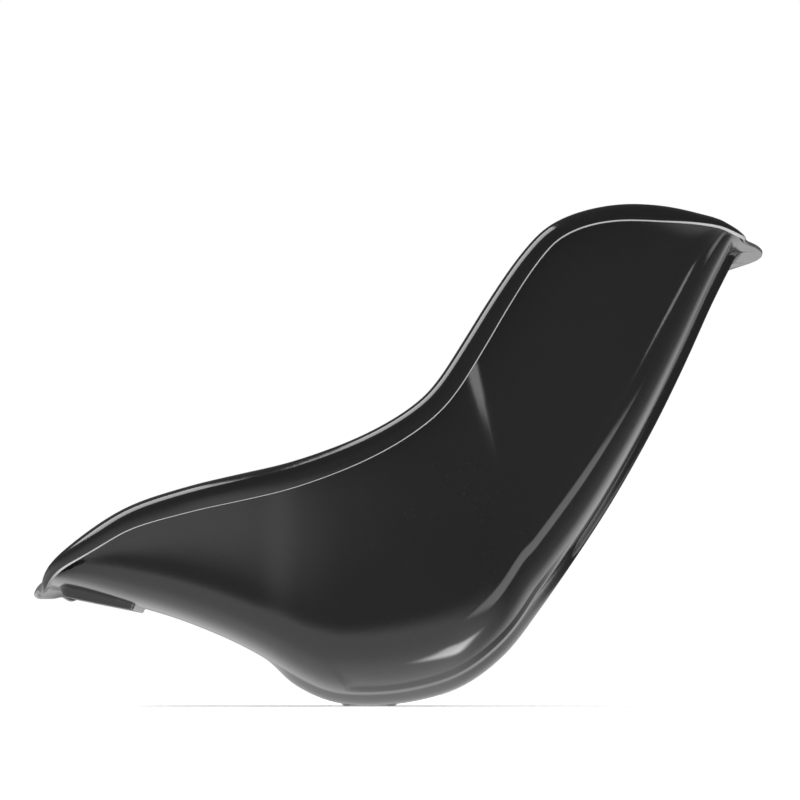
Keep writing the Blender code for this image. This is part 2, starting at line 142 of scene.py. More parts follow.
class ShaderTree:
    """Node tree of one material or world, built through a single method."""

    def __init__(self, owner: bpy.types.ID) -> None:
        """Empty the owner's tree and keep hold of it.

        Args:
            owner: a material or a world.
        """
        owner.use_nodes = True
        self.tree = owner.node_tree
        self.tree.nodes.clear()

    def node(
        self, kind: str, settings: dict[str, Any], inputs: dict[str, Any]
    ) -> bpy.types.Node:
        """Add a node, set it up, then fill its sockets.

        Args:
            kind: the node's type name.
            settings: attributes of the node; "stops" holds a ramp's (place, colour) pairs.
            inputs: socket name, identifier or number to a value, a socket or a Value.

        Returns:
            The new node.
        """
        made = self.tree.nodes.new(kind)
        for name, value in settings.items():
            if name == "stops":
                self._set_ramp(made.color_ramp, value)
            else:
                setattr(made, name, value)
        for name, value in inputs.items():
            socket = self._input(made, name)
            if isinstance(value, Value):
                value = value.socket
            if isinstance(value, bpy.types.NodeSocket):
                self.tree.links.new(value, socket)
            else:
                socket.default_value = value
        return made

    @staticmethod
    def _set_ramp(ramp: bpy.types.ColorRamp, stops: Sequence[tuple[float, float]]) -> None:
        """Give a ramp its grey stops.

        Args:
            ramp: the ramp to change.
            stops: (place, grey) pairs from left to right.
        """
        while len(ramp.elements) < len(stops):
            ramp.elements.new(0.5)
        for element, (place, grey) in zip(ramp.elements, stops):
            element.position = place
            element.color = (grey, grey, grey, 1.0)

    @staticmethod
    def _input(node: bpy.types.Node, name: str) -> bpy.types.NodeSocket:
        """Find an input socket.

        Args:
            node: the node to look on.
            name: a number, an identifier or a name.

        Returns:
            The socket.
        """
        if name.isdigit():
            return node.inputs[int(name)]
        for socket in node.inputs:
            if socket.identifier == name:
                return socket
        return node.inputs[name]

    def object_place(self) -> bpy.types.NodeSocket:
        """Position in the object's own frame, in metres."""
        return self.node("ShaderNodeTexCoord", {}, {}).outputs["Object"]

    def stretched(
        self, place: bpy.types.NodeSocket, scale: Sequence[float], turn: Sequence[float]
    ) -> bpy.types.NodeSocket:
        """Scale and turn a position.

        Args:
            place: the position to change.
            scale: factor along each axis.
            turn: Euler angles in degrees.

        Returns:
            The changed position.
        """
        made = self.node(
            "ShaderNodeMapping",
            {},
            {
                "Vector": place,
                "Scale": tuple(scale),
                "Rotation": tuple(math.radians(t) for t in turn),
            },
        )
        return made.outputs["Vector"]

    def noise(
        self, place: bpy.types.NodeSocket, scale: float, detail: float = 2.0, rough: float = 0.5
    ) -> Value:
        """Noise between 0 and 1.

        Args:
            place: position to read it at.
            scale: cells in a metre.
            detail: octaves.
            rough: strength of the finer octaves.

        Returns:
            The noise value.
        """
        made = self.node(
            "ShaderNodeTexNoise",
            {},
            {"Vector": place, "Scale": scale, "Detail": detail, "Roughness": rough},
        )
        return Value(self, made.outputs["Fac"])

    def ramp(self, value: Value, stops: Sequence[tuple[float, float]]) -> Value:
        """Pass a value through a grey ramp.

        Args:
            value: the value to change.
            stops: (place, grey) pairs.

        Returns:
            The ramped value.
        """
        made = self.node("ShaderNodeValToRGB", {"stops": stops}, {"Fac": value})
        bright = self.node("ShaderNodeRGBToBW", {}, {"Color": made.outputs["Color"]})
        return Value(self, bright.outputs["Val"])

    def smooth(self, low: float, high: float, value: Value) -> Value:
        """0 below low and 1 above high, eased between.

        Args:
            low: where the rise starts.
            high: where it ends.
            value: the value to read.

        Returns:
            The share.
        """
        made = self.node(
            "ShaderNodeMapRange",
            {"interpolation_type": "SMOOTHSTEP"},
            {"Value": value, "From Min": low, "From Max": high},
        )
        return Value(self, made.outputs["Result"])

    def blend(self, share: Any, first: Any, second: Any) -> bpy.types.NodeSocket:
        """Mix two colours.

        Args:
            share: how much of the second.
            first: colour at 0.
            second: colour at 1.

        Returns:
            The mixed colour.
        """
        made = self.node(
            "ShaderNodeMix",
            {"data_type": "RGBA"},
            {"Factor_Float": share, "A_Color": first, "B_Color": second},
        )
        return next(s for s in made.outputs if s.identifier == "Result_Color")

    def bumps(self, layers: Iterable[tuple[Value, float]]) -> bpy.types.NodeSocket | None:
        """Chain Bump nodes.

        Args:
            layers: (height, distance in metres) pairs.

        Returns:
            The last normal.
        """
        normal = None
        for height, distance in layers:
            inputs = {"Height": height, "Distance": distance, "Strength": 1.0}
            if normal is not None:
                inputs["Normal"] = normal
            normal = self.node("ShaderNodeBump", {}, inputs).outputs["Normal"]
        return normal

    def principled(self, inputs: dict[str, Any]) -> None:
        """Finish a material with a Principled shader.

        Args:
            inputs: socket name to a value, a socket or a Value.
        """
        shader = self.node("ShaderNodeBsdfPrincipled", {}, inputs)
        self.node("ShaderNodeOutputMaterial", {}, {"Surface": shader.outputs["BSDF"]})

    def attribute(self, name: str) -> Value:
        """A number stored on the mesh."""
        made = self.node("ShaderNodeAttribute", {"attribute_name": name}, {})
        return Value(self, made.outputs["Fac"])


def new_material(name: str) -> tuple[bpy.types.Material, ShaderTree]:
    """Make an empty node material.

    Args:
        name: the material's name.

    Returns:
        The material and its tree.
    """
    made = bpy.data.materials.new(name)
    return made, ShaderTree(made)


def grey(level: float, warmth: float = 0.0) -> tuple[float, float, float, float]:
    """Colour of one grey level, a little warm or cool."""
    return (level * (1 + warmth), level, level * (1 - warmth), 1.0)


# --------------------------------------------------------------------------------- finishes


@dataclass(frozen=True)
class GlossBlack:
    """Polished black moulding: deep colour, faint moulding waviness, handling marks, dust, and a
    painted highlight on the rim's cut edge.
    """

    name: str = "gloss_black_moulding"
    dark: float = 0.0075
    light: float = 0.0125
    # Grey of the rim's cut edge: partly the trimmed edge's own lighter tone, mostly a painted
    # highlight of light caught from below.
    cut_edge: float = 0.42
    roughness: float = 0.115
    ior: float = 1.52
    edge_attribute: str = "cut_edge"

    def build(self) -> bpy.types.Material:
        """Make the material.

        Returns:
            The finished material.
        """
        made, tree = new_material(self.name)
        place = tree.object_place()
        cloud = tree.noise(place, 7.0, 3.0)
        smear = tree.noise(tree.stretched(place, (1, 0.35, 1), (25, 10, 0)), 26.0, 4.0, 0.6)
        peel = tree.noise(place, 95.0, 1.0)
        grain = tree.noise(place, 1500.0, 2.0, 0.6)
        marks = []
        for scale, turn in (((8, 260, 260), (0, 12, 35)), ((240, 9, 240), (20, 0, -14))):
            line = tree.noise(tree.stretched(place, scale, turn), 3.0, 2.0, 0.4)
            marks.append(tree.ramp(line, ((0.70, 0.0), (0.76, 1.0))))
        speck_node = tree.node(
            "ShaderNodeTexVoronoi", {"feature": "F1"}, {"Vector": place, "Scale": 330.0}
        )
        speck = tree.ramp(Value(tree, speck_node.outputs["Distance"]), ((0.06, 1.0), (0.13, 0.0)))
        dust = speck * tree.ramp(tree.noise(place, 21.0, 2.0), ((0.50, 0.0), (0.75, 1.0)))
        # Share of painted highlight on the rim's cut edge; it also makes the edge rougher.
        edge_highlight = tree.attribute(self.edge_attribute)

        body = tree.blend(cloud, grey(self.dark, -0.02), grey(self.light, -0.01))
        dusty = tree.blend(dust * 0.35, body, grey(0.10, 0.03))
        # Painted highlight: the cut edge is mixed towards light grey.
        colour = tree.blend(edge_highlight, dusty, grey(self.cut_edge, 0.0))
        scratched = marks[0].at_least(marks[1])
        rough = (
            self.roughness
            + (smear - 0.5) * 0.07
            + (cloud - 0.5) * 0.05
            + scratched * 0.07
            + dust * 0.30
            + edge_highlight * 0.16
        )
        normal = tree.bumps(((peel, 0.00003), (grain, 0.0000012), (scratched, 0.000003)))
        tree.principled(
            {
                "Base Color": colour,
                "Roughness": rough,
                "Normal": normal,
                "IOR": self.ior,
                "Specular IOR Level": 0.5,
            }
        )
        return made


class PlatingTone(Enum):
    """Kinds of bare or plated metal on the hardware."""

    ZINC_SHEET = "zinc_sheet"
    ZINC_NUT = "zinc_nut"
    ALLOY = "alloy"


@dataclass(frozen=True)
class PlatedMetal:
    """Plated or bare metal with spangle, brushing, tarnish and small scratches."""

    tone: PlatingTone
    bright: tuple[float, float, float, float]
    dull: tuple[float, float, float, float]
    roughness: float
    grain: float
    brush: tuple[float, float, float] = (1.0, 1.0, 1.0)

    def build(self) -> bpy.types.Material:
        """Make the material.

        Returns:
            The finished material.
        """
        made, tree = new_material(f"{self.tone.value}_finish")
        place = tree.object_place()
        cloud = tree.noise(place, 70.0, 4.0, 0.6)
        fleck = tree.noise(place, 900.0, 2.0, 0.6)
        lines = tree.noise(tree.stretched(place, self.brush, (0, 0, 0)), self.grain, 3.0, 0.5)
        stain = tree.ramp(tree.noise(place, 160.0, 3.0), ((0.55, 0.0), (0.72, 1.0)))
        colour = tree.blend((cloud * 0.7 + stain * 0.3), self.bright, self.dull)
        rough = self.roughness + (cloud - 0.5) * 0.14 + (fleck - 0.5) * 0.08 + stain * 0.12
        normal = tree.bumps(((lines, 0.000006), (fleck, 0.000004)))
        tree.principled(
            {"Base Color": colour, "Roughness": rough, "Normal": normal, "Metallic": 1.0}
        )
        return made


PLATINGS = {
    PlatingTone.ZINC_SHEET: PlatedMetal(
        PlatingTone.ZINC_SHEET, (0.62, 0.63, 0.64, 1), (0.42, 0.42, 0.41, 1), 0.34, 260.0,
        (0.15, 6.0, 1.0),
    ),
    PlatingTone.ZINC_NUT: PlatedMetal(
        PlatingTone.ZINC_NUT, (0.68, 0.66, 0.60, 1), (0.48, 0.45, 0.38, 1), 0.30, 700.0
    ),
    PlatingTone.ALLOY: PlatedMetal(
        PlatingTone.ALLOY, (0.76, 0.77, 0.78, 1), (0.55, 0.56, 0.57, 1), 0.30, 900.0
    ),
}


# ------------------------------------------------------------------------------- mesh tools


def eased(low: float, high: float, value: np.ndarray) -> np.ndarray:
    """0 below low and 1 above high, with a curve that starts and ends flat.

    Args:
        low: where the rise starts.
        high: where it ends.
        value: places to read it at.

    Returns:
        The share at each place.
    """
    t = np.clip((value - low) / (high - low), 0.0, 1.0)
    return t * t * t * (t * (6 * t - 15) + 10)


def unit(vectors: np.ndarray) -> np.ndarray:
    """Rows of an array scaled to length 1."""
    return vectors / np.linalg.norm(vectors, axis=-1, keepdims=True)


def through(knots: np.ndarray, values: np.ndarray, at: np.ndarray) -> np.ndarray:
    """Smooth curve through rows of values.

    Args:
        knots: rising places of the rows.
        values: one row for each place.
        at: where to read the curve.

    Returns:
        One row for each place read.
    """
    slopes = np.gradient(values, knots, axis=0)
    index = np.clip(np.searchsorted(knots, at, side="right") - 1, 0, len(knots) - 2)
    step = (knots[index + 1] - knots[index])[:, None]
    t = (at - knots[index])[:, None] / step
    return (
        (2 * t**3 - 3 * t**2 + 1) * values[index]
        + (t**3 - 2 * t**2 + t) * slopes[index] * step
        + (3 * t**2 - 2 * t**3) * values[index + 1]
        + (t**3 - t**2) * slopes[index + 1] * step
    )


def softened(values: np.ndarray, reach: float) -> np.ndarray:
    """Even out rows of values along the first axis, keeping the ends in place.

    Args:
        values: rows at equal steps.
        reach: standard deviation of the smoothing, in steps.

    Returns:
        The evened rows.
    """
    half = int(3 * reach)
    kernel = np.exp(-0.5 * (np.arange(-half, half + 1) / reach) ** 2)
    kernel /= kernel.sum()
    head = 2 * values[0] - values[half:0:-1]
    tail = 2 * values[-1] - values[-2 : -half - 2 : -1]
    padded = np.concatenate([head, values, tail])
    columns = [np.convolve(padded[:, k], kernel, "valid") for k in range(values.shape[1])]
    return np.stack(columns, axis=1)


def linked(name: str, data: bpy.types.ID) -> bpy.types.Object:
    """New object in the scene.

    Args:
        name: the object's name.
        data: its mesh, light or camera.

    Returns:
        The object, at the origin.
    """
    obj = bpy.data.objects.new(name, data)
    bpy.context.scene.collection.objects.link(obj)
    return obj


def aim_at(obj: bpy.types.Object, place: Sequence[float], aim: Sequence[float]) -> None:
    """Stand an object at a place, facing a point.

    Args:
        obj: the object, which faces along its own -Z.
        place: where it stands.
        aim: the point it faces.
    """
    obj.location = place
    look = Vector(aim) - Vector(place)
    obj.rotation_euler = look.to_track_quat("-Z", "Y").to_euler()


def new_object(
    name: str, points: np.ndarray, faces: Sequence[Sequence[int]], smooth_below: float
) -> bpy.types.Object:
    """Object with a closed mesh from points in millimetres.

    Args:
        name: the piece's name.
        points: one row (x, y, z) for each vertex.
        faces: vertex numbers of each face.
        smooth_below: edges sharper than this many degrees stay sharp.

    Returns:
        The object, at the origin, in the scene.
    """
    data = bpy.data.meshes.new(name)
    data.from_pydata((points * MM).tolist(), [], faces)
    made = bmesh.new()
    made.from_mesh(data)
    bmesh.ops.recalc_face_normals(made, faces=made.faces)
    made.to_mesh(data)
    made.free()
    obj = linked(name, data)
    shade(obj, smooth_below)
    return obj


def shade(obj: bpy.types.Object, smooth_below: float) -> None:
    """Shade smooth except across edges sharper than an angle in degrees."""
    obj.data.shade_smooth()
    obj.data.set_sharp_from_angle(angle=math.radians(smooth_below))


def baked(obj: bpy.types.Object) -> bpy.types.Object:
    """Turn an object's modifiers into its own plain mesh.

    Args:
        obj: the object to change.

    Returns:
        The same object with no modifiers.
    """
    graph = bpy.context.evaluated_depsgraph_get()
    result = bpy.data.meshes.new_from_object(obj.evaluated_get(graph))
    obj.modifiers.clear()
    before = obj.data
    obj.data = result
    name = before.name
    bpy.data.meshes.remove(before)
    result.name = name
    return obj


def turned(
    name: str, profile: Sequence[tuple[float, float]], sides: int, smooth_below: float = 35.0
) -> bpy.types.Object:
    """Solid turned about Z.

    Args:
        name: the object's name.
        profile: (radius, height) points in millimetres; the first and last are on the axis.
        sides: number of sides.
        smooth_below: edges sharper than this many degrees stay sharp.

    Returns:
        The object.
    """
    inner = profile[1:-1]
    turn = np.linspace(0.0, 2 * math.pi, sides, endpoint=False)
    points = [
        np.stack([r * np.cos(turn), r * np.sin(turn), np.full(sides, h)], axis=1)
        for r, h in inner
    ]
    poles = np.array([(0.0, 0.0, profile[0][1]), (0.0, 0.0, profile[-1][1])])
    foot = len(inner) * sides
    faces = []
    for k in range(sides):
        j = (k + 1) % sides
        faces.append((foot, j, k))
        last = (len(inner) - 1) * sides
        faces.append((foot + 1, last + k, last + j))
        for ring in range(len(inner) - 1):
            low, high = ring * sides, (ring + 1) * sides
            faces.append((low + k, low + j, high + j, high + k))
    return new_object(name, np.concatenate([*points, poles]), faces, smooth_below)


def ride_root(
    obj: bpy.types.Object, material: bpy.types.Material, nodes: Sequence[str]
) -> None:
    """Dress a finished piece and tell the frame what it is.

    Args:
        obj: the piece.
        material: its finish.
        nodes: CAD nodes that it stands for.
    """
    obj.data.materials.clear()
    obj.data.materials.append(material)
    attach(obj, "root")
    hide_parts(*nodes)
    triangles = sum(len(p.vertices) - 2 for p in obj.data.polygons)
    LOG.info("%s: %d triangles, stands for %s", obj.name, triangles, ", ".join(nodes))


# -------------------------------------------------------------------------------- the shell


class Station(NamedTuple):
    """One cross-section of the outer skin, from the centre plane up to the rim."""

    keel: tuple[float, float]
    rim: tuple[float, float]
    foot: float
    top: float
    corner: float
    power: float
    sweep: float = 0.0


class Flange(NamedTuple):
    """Section of the turned-out rim at one share of the way from the nose to the rear."""

    at: float
    bend: float
    bend_turn: float
    flat: float
    roll: float
    roll_turn: float
    skirt: float


STATIONS = (
    Station((-268.0, 100.0), (-264.5, 110.0), 150.0, 151.0, 7.0, 2.3, 9.0),
    Station((-241.0, 95.2), (-239.0, 129.5), 157.0, 160.0, 22.0, 3.2, 6.0),
    Station((-206.0, 86.0), (-200.0, 153.2), 160.0, 168.0, 34.0, 3.6, 2.0),
    Station((-158.0, 71.4), (-147.6, 170.6), 162.0, 172.0, 40.0, 3.5),
    Station((-110.0, 51.2), (-105.0, 180.7), 163.0, 175.0, 46.0, 3.3),
    Station((-66.0, 26.5), (-66.0, 189.5), 164.0, 176.0, 53.0, 3.0),
    Station((-36.5, 11.1), (-37.8, 198.3), 165.0, 176.5, 60.0, 2.8),
    Station((0.0, 7.2), (-4.0, 211.7), 165.0, 176.5, 66.0, 2.7),
    Station((38.9, 11.4), (26.6, 228.2), 165.0, 176.5, 70.0, 2.7),
    Station((76.6, 23.9), (48.0, 244.4), 165.0, 176.5, 70.0, 2.7),
    Station((105.2, 45.8), (60.4, 258.8), 165.0, 176.5, 68.0, 2.7),
    Station((132.8, 80.8), (79.6, 288.4), 165.0, 176.0, 64.0, 2.8),
    Station((166.6, 129.2), (103.6, 326.8), 165.0, 175.0, 58.0, 2.9),
    Station((196.6, 175.4), (127.2, 360.4), 165.0, 174.0, 52.0, 3.0),
    Station((226.6, 228.0), (150.4, 383.4), 165.0, 173.0, 47.0, 3.2),
    Station((256.6, 288.2), (195.0, 398.1), 165.0, 172.0, 44.0, 3.4),
    Station((281.6, 343.4), (241.3, 398.4), 165.0, 171.0, 36.0, 3.7),
    Station((299.5, 378.7), (280.4, 390.4), 168.0, 169.0, 18.0, 3.1),
)

FLANGES = (
    Flange(0.00, 12.0, 50.0, 0.5, 10.0, 30.0, 2.5),
    Flange(0.08, 10.0, 50.0, 0.5, 8.0, 32.0, 2.0),
    Flange(0.12, 7.5, 51.0, 0.5, 6.5, 36.0, 1.5),
    Flange(0.145, 6.5, 62.0, 1.5, 7.0, 46.0, 2.5),
    Flange(0.165, 6.0, 76.0, 3.0, 8.0, 58.0, 4.5),
    Flange(0.24, 5.0, 85.0, 5.0, 8.0, 78.0, 7.0),
    Flange(0.55, 5.0, 85.0, 5.0, 8.0, 80.0, 8.0),
    Flange(0.70, 5.0, 85.0, 5.0, 8.0, 78.0, 5.0),
    Flange(0.77, 5.0, 84.0, 5.0, 8.0, 72.0, 4.5),
    Flange(0.82, 5.0, 75.0, 2.5, 6.5, 40.0, 2.5),
    Flange(0.866, 4.5, 66.0, 2.0, 6.0, 24.0, 2.0),
    Flange(0.889, 5.0, 63.0, 5.5, 6.0, 16.0, 2.0),
    Flange(0.923, 6.0, 62.0, 13.5, 7.0, 10.0, 2.0),
    Flange(0.952, 6.0, 62.0, 20.0, 7.0, 8.0, 2.0),
    Flange(0.978, 6.0, 62.0, 24.0, 7.0, 6.0, 2.0),
    Flange(1.00, 6.0, 62.0, 25.0, 7.0, 6.0, 2.0),
)

KEEL_Y, KEEL_Z, RIM_Y, RIM_Z, FOOT, TOP, CORNER, POWER, SWEEP = range(9)


@dataclass
class Loft:
    """Smooth skin through the stations.

    A place on it is (travel, across, wall): travel in millimetres from the nose; across is x on
    the floor of the section; wall, where it is not negative, is the share of the way from the
    edge of the floor grid up to the rim.
    """

    floor_half: float = 82.0
    sample: float = 0.5
    reach: float = 9.0
    length: float = field(init=False)

    def __post_init__(self) -> None:
        """Sample the stations finely and measure each section's wall."""
        table = np.array([[*s.keel, *s.rim, *s[2:]] for s in STATIONS])
        travel = np.linalg.norm(np.diff(table[:, :2], axis=0), axis=1)
        travel += np.linalg.norm(np.diff(table[:, 2:4], axis=0), axis=1)
        knots = np.concatenate([[0.0], np.cumsum(travel / 2)])
        self.length = float(knots[-1])
        self._places = np.arange(0.0, self.length + self.sample, self.sample)
        self._places = np.minimum(self._places, self.length)
        rows = through(knots, table, self._places)
        self._rows = softened(rows, self.reach / self.sample)
        self._measure_walls()

    def _measure_walls(self) -> None:
        """Tabulate the section's own parameter against the share of its wall's length."""
        self._wall_travel = np.linspace(0.0, self.length, 120)
        inner = np.linspace(0.0, 1.0, 500)
        shares = np.linspace(0.0, 1.0, 240)
        table, lengths = [], []
        for travel in self._wall_travel:
            rows = self.rows(np.full(inner.shape, travel))
            x, rise = self._section(rows, inner)
            steps = np.hypot(np.diff(x), np.diff(rise))
            run = np.concatenate([[0.0], np.cumsum(steps)])
            lengths.append(run[-1])
            table.append(np.interp(shares * run[-1], run, inner))
        self._wall_table = np.array(table)
        self._wall_lengths = np.array(lengths)

    def rows(self, travel: np.ndarray) -> np.ndarray:
        """Station numbers at some travels.

        Args:
            travel: millimetres from the nose.

        Returns:
            One row of nine numbers for each.
        """
        place = np.clip(travel, 0.0, self.length) / self.sample
        index = np.clip(place.astype(int), 0, len(self._rows) - 2)
        share = (place - index)[:, None]
        return self._rows[index] * (1 - share) + self._rows[index + 1] * share

    def wall_length(self, travel: np.ndarray) -> np.ndarray:
        """Length of the section from the floor grid's edge to the rim."""
        return np.interp(travel, self._wall_travel, self._wall_lengths)

    def _section(self, rows: np.ndarray, inner: np.ndarray) -> tuple[np.ndarray, np.ndarray]:
        """Half width and rise beyond the floor grid.

        Args:
            rows: station numbers.
            inner: the section's own parameter, 0 to 1.

        Returns:
            x and rise in millimetres.
        """
        foot, power = rows[:, FOOT], rows[:, POWER]
        first = np.arcsin((self.floor_half / foot) ** (power / 2))
        turn = first + (RIGHT_ANGLE - first) * np.clip(inner * 2, 0.0, 1.0)
        share = np.clip(inner * 2 - 1, 0.0, 1.0)
        lean = share**2 * (1.633 - 0.633 * share)
        x = foot * np.sin(turn) ** (2 / power) + (rows[:, TOP] - foot) * lean
        height = np.hypot(rows[:, RIM_Y] - rows[:, KEEL_Y], rows[:, RIM_Z] - rows[:, KEEL_Z])
        corner = rows[:, CORNER]
        rise = corner * (1 - np.maximum(np.cos(turn), 0.0) ** (2 / power))
        return x, rise + (height - corner) * share

    def point(self, travel: np.ndarray, across: np.ndarray, wall: np.ndarray) -> np.ndarray:
        """Points of the skin.

        Args:
            travel: millimetres from the nose.
            across: signed x on the floor; only its sign counts on the wall.
            wall: share of the wall, or negative on the floor.

        Returns:
            One row (x, y, z) for each.
        """
        rows = self.rows(travel)
        foot, power = rows[:, FOOT], rows[:, POWER]
        level = np.clip(np.abs(across) / foot, 0.0, 1.0)
        x = np.abs(across)
        rise = rows[:, CORNER] * (1 - (1 - level**power) ** (1 / power))
        up = wall >= 0
        if up.any():
            column = np.clip(wall[up], 0.0, 1.0) * (self._wall_table.shape[1] - 1)
            line = np.interp(
                travel[up], self._wall_travel, np.arange(len(self._wall_travel))
            )
            c, r = column.astype(int), line.astype(int)
            c = np.minimum(c, self._wall_table.shape[1] - 2)
            r = np.minimum(r, self._wall_table.shape[0] - 2)
            fc, fr = column - c, line - r
            table = self._wall_table
            inner = (table[r, c] * (1 - fc) + table[r, c + 1] * fc) * (1 - fr)
            inner += (table[r + 1, c] * (1 - fc) + table[r + 1, c + 1] * fc) * fr
            x[up], rise[up] = self._section(rows[up], inner)
        keel = rows[:, [KEEL_Y, KEEL_Z]]
        lean = unit(rows[:, [RIM_Y, RIM_Z]] - keel)
        y = keel[:, 0] + lean[:, 0] * rise + rows[:, SWEEP] * np.minimum(x / foot, 1.0) ** 2
        z = keel[:, 1] + lean[:, 1] * rise
        return np.stack([np.sign(across) * x, y, z], axis=1)

    def normal(self, travel: np.ndarray, across: np.ndarray, wall: np.ndarray) -> np.ndarray:
        """Outward directions at places of the skin, given as for point()."""
        step = 1.0
        ahead = self.point(np.minimum(travel + step, self.length), across, wall)
        behind = self.point(np.maximum(travel - step, 0.0), across, wall)
        side = np.where(across < 0, -1.0, 1.0)
        far = np.where(wall >= 0, np.minimum(wall + 0.004, 1.0), wall)
        near = np.where(wall >= 0, np.maximum(wall - 0.004, 0.0), wall)
        on_floor = wall < 0
        over = self.point(travel, across + side * on_floor * 0.5, far)
        under = self.point(travel, across - side * on_floor * 0.5, near)
        return unit(np.cross(ahead - behind, (over - under) * side[:, None]))


@dataclass
class PressedPad:
    """A flat-bottomed boss pressed out of the shell."""

    half: float
    low: float
    high: float
    corner: float
    origin: tuple[float, float]
    slope: float
    edge: float

    def share(self, points: np.ndarray, inset: float) -> np.ndarray:
        """How far points belong to the pad, 0 outside to 1 on its flat.

        Args:
            points: places on the skin.
            inset: how much smaller than the outer outline to make it.

        Returns:
            The share for each point.
        """
        radius = max(self.corner - inset, 1.5)
        half_y = (self.high - self.low) / 2 - inset
        dx = np.abs(points[:, 0]) - (self.half - inset - radius)
        dy = np.abs(points[:, 1] - (self.high + self.low) / 2) - (half_y - radius)
        outside = np.hypot(np.maximum(dx, 0.0), np.maximum(dy, 0.0))
        away = outside + np.minimum(np.maximum(dx, dy), 0.0) - radius
        return eased(0.0, self.edge, -away + self.edge * 0.35)

    def floor(self, y: np.ndarray) -> np.ndarray:
        """Height of the flat underside at y."""
        return self.origin[1] + (y - self.origin[0]) * math.tan(self.slope)


@dataclass
class SeatShell:
    """One-piece moulded shell: bowl, wings, centre spine, pads and turned-out rim."""

    name: str = "moulded_seat_shell"
    sheet: float = 3.2
    row_step: float = 5.4
    wall_columns: int = 43
    spine_height: float = 7.0
    spine_half: float = 45.7
    spine_edge: float = 4.4
    spine_start: float = -95.0
    spine_full: float = -55.0
    belly_half: float = 100.0
    belly_end: tuple[float, float] = (112.0, 178.0)
    nose_corner: float = 4.0
    rear_corner: float = 4.0
    frame_ease: float = 14.0
    dish_depth: float = 2.0
    dish_x: float = 104.0
    dish_end: tuple[float, float] = (125.0, 185.0)
    dish_wall: tuple[float, float] = (0.12, 0.42)
    corner_reach: float = 34.0
    corner_passes: int = 40
    row_sample: float = 0.25
    shade_below: float = 50.0
    bend_steps: int = 5
    roll_steps: int = 5
    edge_round: float = 0.7
    # Shares, nose to rear, where the painted highlight on the cut edge fades in and out.
    edge_highlight_span: tuple[float, float, float, float] = (0.14, 0.18, 0.83, 0.87)
    front_pad: PressedPad = field(
        default_factory=lambda: PressedPad(
            75.0, -259.0, -197.0, 8.0, (-226.0, 85.2), math.radians(-11.3), 3.6
        )
    )
    rear_pad: PressedPad = field(
        default_factory=lambda: PressedPad(40.0, -25.0, 21.0, 8.0, (0.0, 0.0), 0.0, 2.6)
    )
    loft: Loft = field(default_factory=Loft)

    def _columns(self) -> tuple[np.ndarray, np.ndarray]:
        """Grid columns from the left rim to the right.

        Returns:
            Signed x and wall share of each column.
        """
        edge = self.spine_half
        floor = np.concatenate(
            [
                np.linspace(0.0, edge - 5.5, 9)[1:],
                np.linspace(edge - 4.6, edge + 3.6, 12),
                np.linspace(edge + 6.5, 63.5, 4),
                np.linspace(66.0, 77.0, 12),
                [79.5, self.loft.floor_half],
            ]
        )
        wall = np.linspace(0.0, 1.0, self.wall_columns + 1)[1:]
        across = np.concatenate([floor, np.full(len(wall), self.loft.floor_half)])
        share = np.concatenate([np.full(len(floor), -1.0), wall])
        across = np.concatenate([-across[::-1], [0.0], across])
        share = np.concatenate([share[::-1], [-1.0], share])
        return across, share

    def _row_travels(self) -> np.ndarray:
        """Travels of the grid rows, closer together at the ends of the pads."""
        fine = np.arange(0.0, self.loft.length, self.row_sample)
        keel_y = self.loft.rows(fine)[:, KEEL_Y]
        spacing = np.full(len(fine), self.row_step)
        for pad, reach, close in ((self.front_pad, 7.5, 1.0), (self.rear_pad, 4.5, 1.2)):
            for end in (pad.low, pad.high):
                near = 1 - eased(reach - 3.0, reach + 3.0, np.abs(keel_y - end))
                spacing = np.minimum(spacing, self.row_step + (close - self.row_step) * near)
        run = np.concatenate([[0.0], np.cumsum(self.row_sample / spacing[:-1])])
        count = int(round(run[-1]))
        travels = np.interp(np.linspace(0.0, run[-1], count + 1), run, fine)
        travels[-1] = self.loft.length
        return travels

    def _round_corner(
        self, side: np.ndarray, end: np.ndarray, radius: float
    ) -> tuple[np.ndarray, np.ndarray]:
        """Move grid places near a corner so that the grid's outline is rounded.

        Args:
            side: distance from the side edge.
            end: distance from the end edge.
            radius: radius of the rounded outline.

        Returns:
            The new distances.
        """
        depth = np.minimum(side, end)
        inner = np.maximum(radius - depth, 1e-6)
        half_arc = inner * math.pi / 4
        along = np.where(side > end, side - depth, -(end - depth))
        turn = np.clip(along / half_arc, -1.0, 1.0) * math.pi / 4
        rest = np.where(np.abs(along) > half_arc, np.abs(along) - half_arc, 0.0)
        angle = math.radians(45.0) - turn
        new_side = depth + inner - inner * np.sin(angle)
        new_end = depth + inner - inner * np.cos(angle)
        spread = np.clip(1 - rest / (1.2 * radius), 0.0, 1.0)
        shift = (inner - half_arc) * spread * spread * (depth < radius)
        far_side = np.where(along > 0, side + shift, side)
        far_end = np.where(along < 0, end + shift, end)
        curved = (np.abs(along) < half_arc) & (depth < radius)
        return (
            np.where(curved, new_side, far_side),
            np.where(curved, new_end, far_end),
        )

    def _places(self) -> tuple[np.ndarray, np.ndarray, np.ndarray, tuple[int, int]]:
        """Places of all grid points, with the outline's corners rounded.

        Returns:
            Travel, across and wall of each point, and the grid's shape.
        """
        across, wall = self._columns()
        travels = self._row_travels()
        shape = (len(travels), len(across))
        travel = np.repeat(travels, shape[1])
        across = np.tile(across, shape[0])
        wall = np.tile(wall, shape[0])
        for from_rear, radius in ((False, self.nose_corner), (True, self.rear_corner)):
            length = self.loft.wall_length(travel)
            side = (1 - wall) * length
            end = self.loft.length - travel if from_rear else travel
            near = (wall >= 0) & (side < 3 * radius) & (end < 3 * radius)
            new_side, new_end = self._round_corner(side[near], end[near], radius)
            travel[near] = self.loft.length - new_end if from_rear else new_end
            length = self.loft.wall_length(travel[near])
            wall[near] = np.clip(1 - new_side / length, 0.0, 1.0)
        return travel, across, wall, shape

